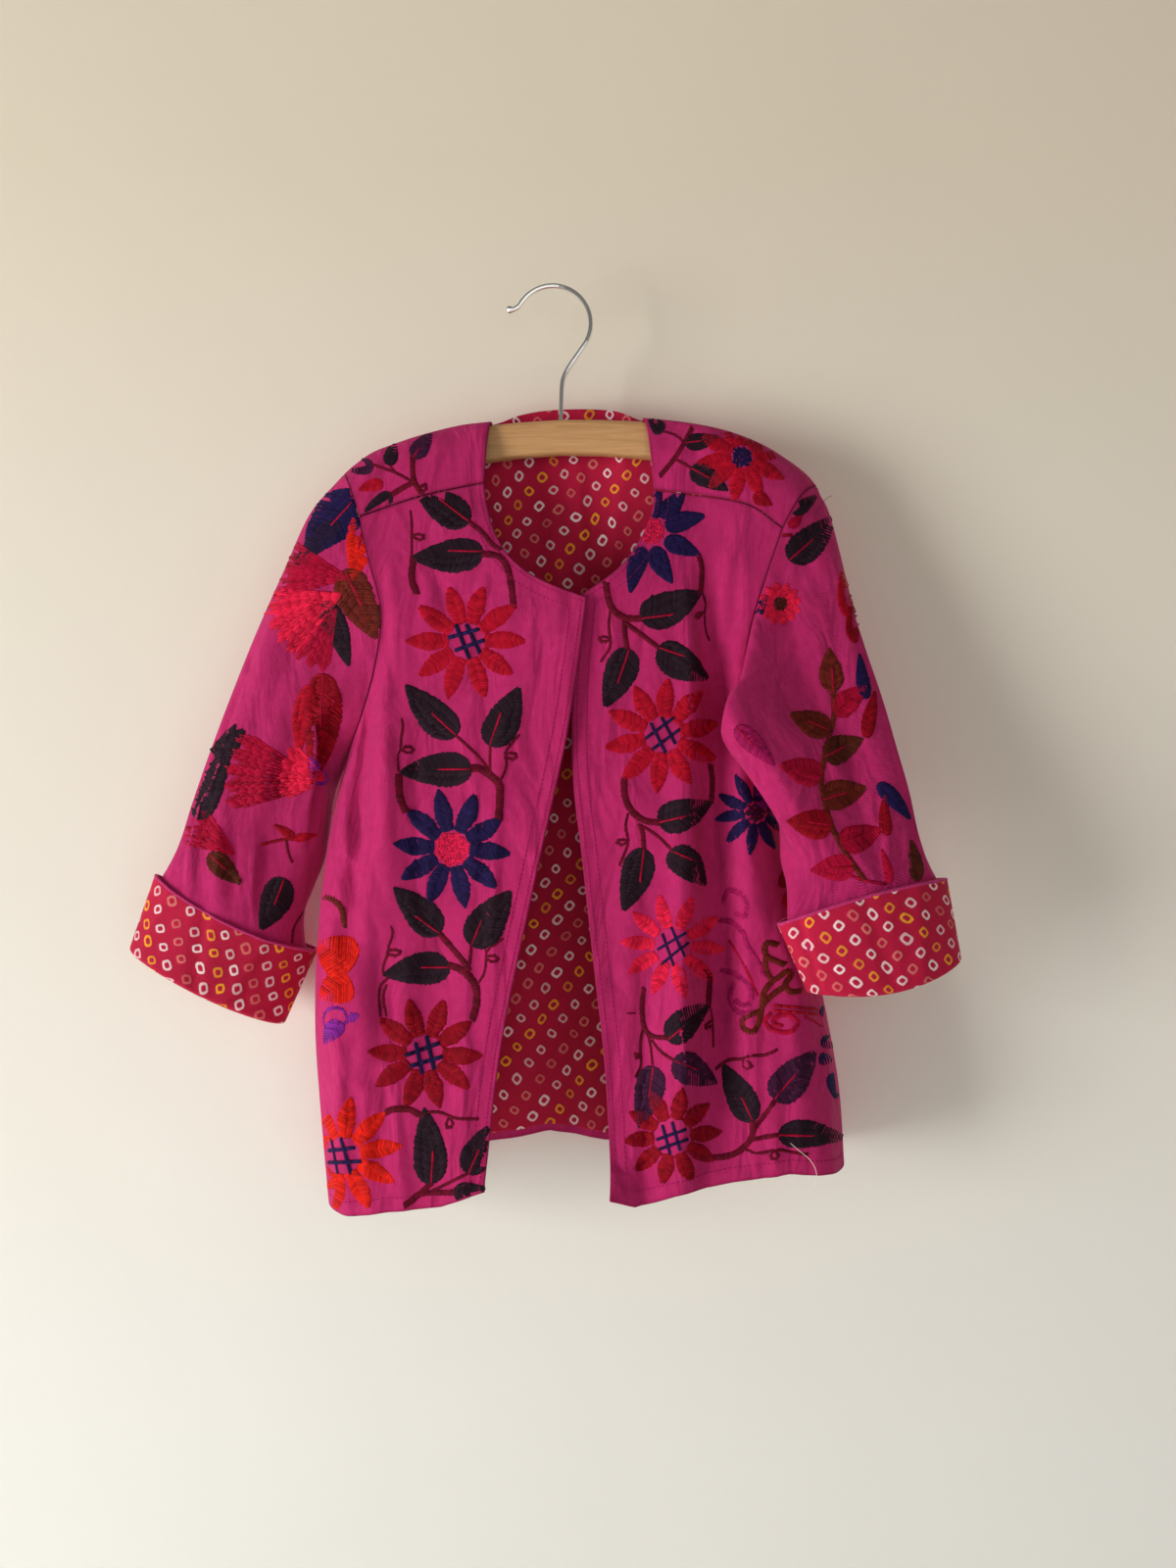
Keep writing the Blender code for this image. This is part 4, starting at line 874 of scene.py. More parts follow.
def ring_turns(count_back, count_front):
    """Turn of each point of a ring: from the ridge by the back to the armpit, and on by the front."""
    back_half = np.linspace(0.0, math.pi, count_back + 1)[:-1]
    front_half = np.linspace(math.pi, 2.0 * math.pi, count_front + 1)[:-1]
    return np.concatenate([back_half, front_half])


def lap_share(degrees):
    """Rises from 0 at the underarm to 1 at the fold, and falls to 0 again before the front's middle."""
    middle = (LAP_START_DEG + LAP_END_DEG) / 2.0
    half = (LAP_END_DEG - LAP_START_DEG) / 2.0
    return smooth((1.0 - np.abs(degrees - middle) / half) * 1.2)


def section(row, turns, run, inset=0.0):
    """One oval section of a sleeve or cuff, between its outer and inner silhouette points."""
    outer, inner = np.array(row[0:3], dtype=float), np.array(row[3:6], dtype=float)
    ahead, behind, sag, lap = row[6:10]
    across = outer - inner
    reach = 1.0 - 2.0 * inset / np.linalg.norm(across)
    share = (1.0 + np.cos(turns)[:, None]) / 2.0
    square = np.cross(across, share * run[0] + (1.0 - share) * run[1]) * math.copysign(1.0, across[0])
    square /= np.linalg.norm(square, axis=1, keepdims=True)
    depth = np.where(np.sin(turns) > 0.0, behind, ahead) - inset
    points = (outer + inner) / 2.0 + np.cos(turns)[:, None] * across * reach / 2.0
    points += (np.sin(turns) * depth)[:, None] * square
    points[:, 2] += np.sin(turns) ** 2 * sag
    lapped = lap * lap_share(np.degrees(turns))
    points[:, 0] -= lapped * math.copysign(1.0, across[0])
    points[:, 1] -= lapped * LAP_FORWARD
    return points


def armhole_loop(front, yoke, back_edge):
    """The armhole's points in the order of ring_turns, from the ridge by the back."""
    return np.concatenate([yoke[RIDGE_BACK_ROW:YOKE_ROWS, -1], back_edge[:ARMPIT_ROW],
                           front[ARMPIT_ROW:0:-1, -1], yoke[:RIDGE_BACK_ROW, -1]])


def hanging_sections(rows, turns, ridge, armpit):
    """The sections of a table, each square to the lines through all outer and all inner points."""
    outer = np.gradient(np.array([ridge] + [row[0:3] for row in rows]), axis=0)
    inner = np.gradient(np.array([armpit] + [row[3:6] for row in rows]), axis=0)
    return [section(row, turns, run) for row, run in zip(rows, zip(outer[1:], inner[1:]))]


def cuff_run(side):
    """The way that a cuff hangs, at its outer and its inner end."""
    top, fold = np.array(CUFF_SECTIONS[side], dtype=float)
    return fold[0:3] - top[0:3], fold[3:6] - top[3:6]


def blend_rows(first, second, share):
    return tuple(a + (b - a) * share for a, b in zip(first, second))


def between_rings(rings, shares):
    """Rings at the given shares of the mean length of a tube that passes smoothly through all rings."""
    fine = np.array([through(rings[:, point]) for point in range(rings.shape[1])]).transpose(1, 0, 2)
    steps = np.linalg.norm(np.diff(fine, axis=0), axis=2).mean(axis=1)
    length = np.concatenate([[0.0], np.cumsum(steps)])
    place = np.interp(shares * length[-1], length, np.arange(len(fine)))
    before = np.minimum(place.astype(int), len(fine) - 2)
    part = (place - before)[:, None, None]
    return fine[before] * (1.0 - part) + fine[before + 1] * part


def round_crease(grid, turns, centre, half_width, rise, fade):
    """A tube of rings with a crease along it, whose turn in degrees and strength change down the rings."""
    aside = (np.degrees(turns)[None, :] - centre[:, None] + 180.0) % 360.0 - 180.0
    out = grid - grid.mean(axis=1, keepdims=True)
    out /= np.linalg.norm(out, axis=2, keepdims=True)
    return grid + out * (rise * swell(aside, half_width) * fade[:, None])[:, :, None]


def sleeve_panel(side, loop):
    turns = ring_turns(ARMPIT_POINT, ARMPIT_ROW + RIDGE_BACK_ROW)
    top, fold = CUFF_SECTIONS[side]
    rings = [loop] + hanging_sections(SLEEVE_SECTIONS[side], turns, loop[0], loop[ARMPIT_POINT])
    height = np.linalg.norm(np.array(top[0:3]) - np.array(fold[0:3]))
    places = [(0.25, SLEEVE_INSET_UNDER_CUFF), (0.6, SLEEVE_INSET_UNDER_CUFF),
              (1.0 - SLEEVE_END_LIFT / height, SLEEVE_INSET_AT_END)]
    rings += [section(blend_rows(top, fold, share), turns, cuff_run(side), inset)
              for share, inset in places]
    shares = np.linspace(0.0, 1.0, SLEEVE_ROWS + 1)
    grid = between_rings(np.array(rings), shares)
    under_cuff = smooth((0.86 - shares) / 0.12)
    for turn_start, turn_end, start, end, half_width, rise in SLEEVE_CREASES[side]:
        run = (shares - start) / (end - start)
        centre = turn_start + (turn_end - turn_start) * run
        grid = round_crease(grid, turns, centre, half_width, rise, faded(run, 0.25) * under_cuff)
    return grid


sleeves = {}
for side in ("right", "left"):
    edge_of_back = back[:, 0] if side == "right" else back[:, -1]
    loop = armhole_loop(fronts[side], yokes[side], edge_of_back)
    sleeves[side] = np.roll(sleeve_panel(side, loop), -ARMPIT_POINT, axis=1)
    sleeve = sewn_shell("sleeve_" + side + "_cloth", sleeves[side], FACING[side], WALL, TWILL, TWILL,
                        closed=True)
    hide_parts("sleeve_" + side)
    declare_cloth(sleeves[side], closed=True)

# The two turned-back cuffs
# Bands of the crimson tied and dyed cotton, turned back over the end of each sleeve and down again
# inside it. A thin roll of the magenta cloth finishes the upper edge.
CUFF_WALL = 1.2
CUFF_FOLD_RADIUS = 3.0
CUFF_INSIDE = 12.0
CUFF_BAND_ROWS = 16
CUFF_TURN_ROWS = 10
CUFF_INSIDE_ROWS = 4
CUFF_ROLL_RADIUS = 1.0
CUFF_ROLL_SIDES = 8
CUFF_DOTS = {"right": (-54.0, 11.2, 10.0), "left": (-58.0, 11.2, 10.0)}
# Turn in degrees at the top and at the fold, half width in degrees, rise
CUFF_CREASES = {
    "right": [
        (292, 280, 7, -1.8),
        (250, 256, 9, 1.3),
        (320, 326, 8, 1.1),
        (60, 70, 14, 1.7),
        (110, 104, 12, -1.4),
    ],
    "left": [
        (212, 206, 7, -2.2),
        (300, 290, 9, 1.3),
        (262, 268, 8, -1.1),
        (70, 62, 14, 1.7),
        (116, 120, 12, -1.4),
    ],
}


def cuff_panel(side):
    """The turned-back cuff: a band down to the fold, the round fold, and a little way up inside."""
    turns = ring_turns(ARMPIT_POINT, ARMPIT_ROW + RIDGE_BACK_ROW)
    top, fold = CUFF_SECTIONS[side]
    run = cuff_run(side)
    rows = [section(blend_rows(top, fold, share), turns, run)
            for share in np.linspace(0.0, 1.0, CUFF_BAND_ROWS + 1)]
    down = np.mean(rows[-1] - rows[0], axis=0)
    down /= np.linalg.norm(down)
    for turn in np.linspace(0.0, math.pi, CUFF_TURN_ROWS + 1)[1:]:
        inset = CUFF_FOLD_RADIUS * (1.0 - math.cos(turn))
        rows.append(section(fold, turns, run, inset) + down * CUFF_FOLD_RADIUS * math.sin(turn))
    turned = rows[-1]
    for share in np.linspace(0.0, 1.0, CUFF_INSIDE_ROWS + 1)[1:]:
        rows.append(turned - down * CUFF_INSIDE * share)
    grid = np.array(rows)
    run = np.linspace(0.0, len(rows) / CUFF_BAND_ROWS, len(rows))
    for turn_start, turn_end, half_width, rise in CUFF_CREASES[side]:
        centre = turn_start + (turn_end - turn_start) * run
        grid = round_crease(grid, turns, centre, half_width, rise, smooth((1.25 - run) / 0.4))
    return grid


def swept_tube(name, line, radius, sides, made_of, closed=False):
    """A round cord along a line of points in mm."""
    line = np.array(line, dtype=float)
    ahead = np.roll(line, -1, axis=0) - np.roll(line, 1, axis=0) if closed else np.gradient(line, axis=0)
    ahead /= np.linalg.norm(ahead, axis=1, keepdims=True)
    level = np.cross(ahead, [0.0, 1.0, 0.0])
    level /= np.maximum(np.linalg.norm(level, axis=1, keepdims=True), 1e-6)
    rise = np.cross(level, ahead)
    turns = np.linspace(0.0, 2.0 * math.pi, sides + 1)[:-1]
    radius = np.broadcast_to(radius, len(line))[:, None, None]
    points = line[:, None] + radius * (np.cos(turns)[None, :, None] * level[:, None]
                                       + np.sin(turns)[None, :, None] * rise[:, None])
    index = np.arange(len(line) * sides).reshape(len(line), sides)
    index = np.concatenate([index, index[:, :1]], axis=1)
    if closed:
        index = np.concatenate([index, index[:1]], axis=0)
    faces = np.stack([index[:-1, :-1], index[1:, :-1], index[1:, 1:], index[:-1, 1:]], axis=2).reshape(-1, 4)
    faces = faces.tolist()
    if not closed:
        faces += [index[0, :-1].tolist(), index[-1, -2::-1].tolist()]
    mesh = bpy.data.meshes.new(name)
    mesh.from_pydata((points.reshape(-1, 3) * MM).tolist(), [], faces)
    mesh.materials.append(made_of)
    return placed(name, mesh)


def rolled_edge_material():
    made, tree, shader = cloth_material("magenta_rolled_edge", 0.85, 0.12, (1.0, 0.5, 0.72, 1.0))
    place = add_node(tree, "TexCoord").outputs["Object"]
    grain = add_node(tree, "TexNoise", {"Vector": place, "Scale": 900.0, "Detail": 3.0}).outputs[0]
    tree.links.new(mixed(tree, grain, MAGENTA_DEEP, MAGENTA_FADED), shader.inputs["Base Color"])
    bump = add_node(tree, "Bump", {"Height": grain, "Strength": 0.6, "Distance": 0.0004})
    tree.links.new(bump.outputs[0], shader.inputs["Normal"])
    return made


ROLLED_EDGE = rolled_edge_material()
cuffs = {}
for side in ("right", "left"):
    cuffs[side] = np.roll(cuff_panel(side), -ARMPIT_POINT, axis=1)
    tied = tied_material("tied_cuff_" + side, *CUFF_DOTS[side])
    cuff = sewn_shell("cuff_" + side + "_cloth", cuffs[side], FACING[side], CUFF_WALL, tied, tied,
                      closed=True)
    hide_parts("cuff_" + side)
    declare_cloth(cuffs[side], closed=True)
    middle = cuffs[side][0] - outward(cuffs[side], FACING[side], True)[0] * CUFF_WALL / 2.0
    roll = swept_tube("cuff_" + side + "_roll", middle, CUFF_ROLL_RADIUS, CUFF_ROLL_SIDES, ROLLED_EDGE,
                      closed=True)

# The embroidery
# Stranded cotton in slanting satin stitch over the fronts, yokes and sleeves, with stems of short
# crossing stitches and thin coiled tendrils. Every thread is its own small ridge with its ends sunk
# into the twill, and each is dropped from the camera onto the cloth piece that it is sewn to.
EMBROIDERY_SEED = 7
THREAD_PITCH = 2.25
THREAD_WIDTH = 3.0
THREAD_HEIGHT = 0.5
LONGEST_STITCH = 11.0
STATIONS = (0.10, 0.90)
OVERLAP = 0.9
SUNK = 0.15
THIN_STEM = 3.4
CUT_SPREAD = 0.22
MOST_BOW = 0.04
# Where a blade is widest, the slant of its stitches, and how ragged its edge is
LEAF_SHAPE = (0.62, 0.55, 0.05)
PETAL_SHAPE = (0.84, 0.40, 0.08)
PETAL_WAIST = 0.74
VEIN_WIDTH = 2.0
VEIN_LIFT = 0.35
BAR_LIFT = 0.5
LARGE_FLOWER = 45
KNOT_STEP = 3.0
KNOT_HALF_LENGTH = 1.9
KNOT_WANDER = 0.6
THREADS = {
    "charcoal": (0.017, 0.007, 0.013), "plum": (0.040, 0.007, 0.030), "navy": (0.012, 0.006, 0.045),
    "crimson": (0.30, 0.002, 0.024), "red": (0.34, 0.0025, 0.016), "darkred": (0.21, 0.0015, 0.009),
    "scarlet": (0.52, 0.009, 0.005), "coral": (0.54, 0.008, 0.040), "maroon": (0.105, 0.003, 0.014),
    "brown": (0.105, 0.011, 0.007), "olive": (0.070, 0.012, 0.007), "purple": (0.17, 0.012, 0.21),
    "pinkred": (0.50, 0.008, 0.050), "tone": (0.27, 0.006, 0.070), "seam": (0.30, 0.007, 0.080),
}
# Base, tip, width, colour, end of the vein
LEAVES = {
    "front_right": [
        ((478, 532), (424, 500), 34, "charcoal", (448, 509)),
        ((492, 563), (420, 569), 34, "charcoal", (458, 562)),
        ((465, 750), (414, 699), 34, "charcoal", (441, 728)),
        ((500, 760), (530, 701), 35, "charcoal", (511, 728)),
        ((480, 785), (408, 788), 35, "charcoal", (447, 785)),
        ((448, 952), (402, 906), 33, "charcoal", (424, 935)),
        ((481, 964), (521, 909), 38, "charcoal", (492, 938)),
        ((458, 987), (391, 995), 33, "charcoal", (430, 987)),
        ((440, 1207), (433, 1131), 34, "charcoal", (442, 1175)),
        ((478, 1197), (502, 1147), 30, "charcoal", (489, 1173)),
        ((464, 1219), (495, 1212), 20, "charcoal", None),
        ((361, 984), (324, 962), 44, "scarlet", None),
        ((358, 1002), (326, 1018), 34, "scarlet", None),
        ((347, 1043), (331, 1064), 18, "purple", None),
    ],
    "yoke_right": [
        ((422, 466), (440, 443), 18, "plum", (428, 458)),
        ((397, 474), (403, 452), 14, "charcoal", None),
        ((399, 505), (372, 522), 16, "charcoal", None),
        ((380, 474), (357, 480), 15, "plum", None),
        ((390, 493), (366, 500), 12, "red", None),
    ],
    "front_left": [
        ((674, 527), (699, 500), 19, "navy", None),
        ((680, 538), (720, 526), 20, "navy", None),
        ((679, 551), (714, 566), 19, "navy", None),
        ((667, 559), (686, 595), 20, "navy", None),
        ((656, 559), (643, 605), 19, "navy", None),
        ((668, 528), (674, 498), 12, "navy", None),
        ((655, 631), (716, 604), 36, "charcoal", (687, 627)),
        ((642, 663), (617, 722), 33, "charcoal", (630, 697)),
        ((673, 661), (723, 693), 34, "charcoal", (699, 670)),
        ((673, 839), (726, 819), 33, "charcoal", (700, 833)),
        ((657, 867), (636, 930), 32, "charcoal", (653, 900)),
        ((685, 868), (720, 903), 31, "charcoal", (707, 878)),
        ((682, 1061), (723, 1025), 30, "charcoal", (696, 1049)),
        ((667, 1089), (652, 1150), 30, "plum", (662, 1120)),
        ((688, 1082), (731, 1105), 32, "plum", (712, 1092)),
        ((768, 1143), (738, 1086), 30, "charcoal", (757, 1120)),
        ((790, 1121), (832, 1073), 36, "plum", (812, 1096)),
        ((795, 1158), (862, 1161), 28, "charcoal", (830, 1159)),
        ((772, 812), (790, 787), 12, "purple", None),
        ((775, 822), (798, 815), 10, "purple", None),
        ((838, 1028), (853, 1038), 16, "navy", None),
        ((838, 1062), (855, 1066), 13, "navy", None),
        ((836, 1080), (849, 1082), 12, "navy", None),
        ((849, 1096), (853, 1121), 13, "navy", None),
        ((798, 905), (806, 880), 12, "darkred", None),
        ((801, 925), (812, 900), 13, "red", None),
    ],
    "yoke_left": [
        ((676, 440), (662, 429), 14, "charcoal", None),
        ((700, 452), (733, 446), 17, "charcoal", (716, 450)),
        ((706, 478), (742, 500), 22, "charcoal", (724, 488)),
        ((770, 505), (787, 515), 14, "darkred", None),
    ],
    "sleeve_left": [
        ((784, 536), (795, 510), 13, "navy", None),
        ((806, 571), (851, 527), 32, "charcoal", (830, 550)),
        ((810, 524), (833, 506), 14, "charcoal", None),
        ((806, 537), (818, 526), 10, "crimson", None),
        ((762, 642), (783, 608), 13, "navy", None),
        ((761, 604), (773, 597), 7, "crimson", None),
        ((864, 628), (859, 583), 13, "red", None),
        ((872, 655), (868, 618), 12, "darkred", None),
        ((884, 712), (877, 668), 13, "navy", None),
        ((850, 704), (846, 662), 24, "brown", (849, 682)),
        ((852, 728), (884, 700), 24, "crimson", (869, 713)),
        ((846, 746), (806, 728), 26, "brown", (825, 736)),
        ((842, 772), (880, 754), 28, "olive", (862, 762)),
        ((838, 792), (796, 780), 28, "crimson", (816, 785)),
        ((840, 816), (884, 804), 30, "brown", (863, 809)),
        ((848, 842), (804, 838), 30, "darkred", (825, 839)),
        ((858, 860), (900, 846), 28, "crimson", (880, 852)),
        ((870, 884), (828, 888), 26, "crimson", (848, 886)),
        ((897, 800), (929, 836), 16, "navy", None),
        ((884, 752), (893, 706), 14, "darkred", None),
        ((905, 852), (903, 812), 12, "darkred", None),
        ((936, 898), (930, 858), 15, "olive", None),
        ((908, 900), (900, 868), 9, "crimson", None),
        ((752, 742), (790, 781), 20, "tone", (770, 762)),
    ],
    "sleeve_right": [
        ((366, 505), (311, 566), 46, "navy", (338, 536)),
        ((368, 492), (350, 520), 22, "navy", None),
        ((372, 524), (360, 592), 30, "scarlet", (366, 560)),
        ((352, 582), (384, 652), 38, "brown", (369, 618)),
        ((389, 592), (387, 644), 12, "olive", None),
        ((331, 614), (356, 680), 24, "charcoal", None),
        ((344, 532), (300, 578), 20, "charcoal", None),
        ((330, 688), (318, 800), 38, "darkred", (326, 750)),
        ((316, 700), (304, 772), 20, "red", None),
        ((330, 800), (316, 772), 14, "purple", None),
        ((203, 836), (240, 740), 30, "charcoal", None),
        ((222, 772), (250, 744), 22, "charcoal", None),
        ((214, 872), (246, 902), 22, "olive", (230, 887)),
        ((290, 897), (266, 949), 32, "charcoal", (280, 923)),
        ((324, 902), (312, 972), 20, "plum", None),
        ((300, 856), (280, 842), 9, "darkred", None),
        ((300, 856), (322, 852), 8, "red", None),
    ],
}
# Sprays of thread: panel, centre, inner and outer reach, start and end angle, lobes, colour
FANS = [
    ("sleeve_right", (356, 590), 2, 82, 146, 196, 5, "crimson"),
    ("sleeve_right", (350, 606), 2, 82, 176, 232, 5, "coral"),
    ("sleeve_right", (344, 620), 2, 66, 214, 262, 4, "crimson"),
    ("sleeve_right", (330, 800), 36, 100, 146, 196, 5, "crimson"),
    ("sleeve_right", (334, 796), 2, 50, 132, 204, 4, "coral"),
    ("sleeve_right", (240, 872), 2, 56, 122, 168, 4, "crimson"),
]
# Panel, centre, angle of the first petal, petals, reach, petal width, colour
FLOWERS = [
    ("front_right", (476, 654), 0, 10, 60, 18, "red"),
    ("front_right", (461, 866), -5, 10, 60, 18, "navy"),
    ("front_right", (433, 1075), -2, 10, 58, 18, "darkred"),
    ("front_right", (349, 1179), 9, 10, 60, 18, "scarlet"),
    ("front_left", (676, 750), 12, 10, 59, 18, "red"),
    ("front_left", (686, 965), -4, 10, 54, 14, "coral"),
    ("front_left", (686, 1160), 6, 10, 50, 16, "darkred"),
    ("front_left", (771, 829), 10, 10, 42, 11, "navy"),
    ("yoke_left", (757, 466), 8, 10, 46, 15, "red"),
    ("sleeve_left", (796, 616), 10, 12, 22, 9, "coral"),
]
INNER_REACH = {"yoke_left": 12, "sleeve_left": 8}
# Knotted middles of flowers: panel, centre, reach, colour
KNOTS = [
    ("front_right", (461, 866), 17, "pinkred"), ("front_left", (664, 542), 13, "pinkred"),
    ("yoke_left", (757, 466), 10, "navy"), ("sleeve_left", (796, 616), 7, "olive"),
    ("front_left", (771, 829), 9, "plum"), ("front_right", (360, 1037), 5, "purple"),
]
# Laid bars: panel, width, colour, lines
BARS = [
    ("front_right", 4.0, "navy", [((465, 637), (479, 672)), ((476, 637), (490, 667)),
                                  ((457, 651), (489, 642)), ((464, 664), (495, 653))]),
    ("front_right", 4.0, "navy", [((424, 1064), (431, 1096)), ((435, 1057), (443, 1091)),
                                  ((413, 1077), (449, 1064)), ((418, 1088), (452, 1078))]),
    ("front_right", 3.6, "navy", [((338, 1161), (345, 1198)), ((348, 1161), (358, 1198)),
                                  ((336, 1174), (362, 1171)), ((336, 1186), (369, 1185))]),
    ("front_left", 3.0, "navy", [((664, 738), (679, 768)), ((675, 732), (689, 759)),
                                 ((658, 754), (688, 732)), ((665, 765), (694, 744))]),
    ("front_left", 2.6, "navy", [((685, 946), (698, 976)), ((676, 953), (688, 986)),
                                 ((671, 969), (700, 952)), ((675, 984), (702, 962))]),
    ("front_left", 3.0, "navy", [((676, 1148), (684, 1178)), ((686, 1145), (694, 1174)),
                                 ((670, 1163), (700, 1152)), ((672, 1173), (702, 1162))]),
    ("front_left", 1.6, "maroon", [((640, 1034), (648, 1034))]),
    ("sleeve_left", 3.4, "darkred", [((762, 549), (808, 546)), ((772, 540), (772, 557)),
                                     ((782, 539), (782, 556)), ((793, 538), (793, 555))]),
    ("front_left", 3.0, "red", [((789, 1026), (834, 1030)), ((789, 1031), (833, 1035))]),
]
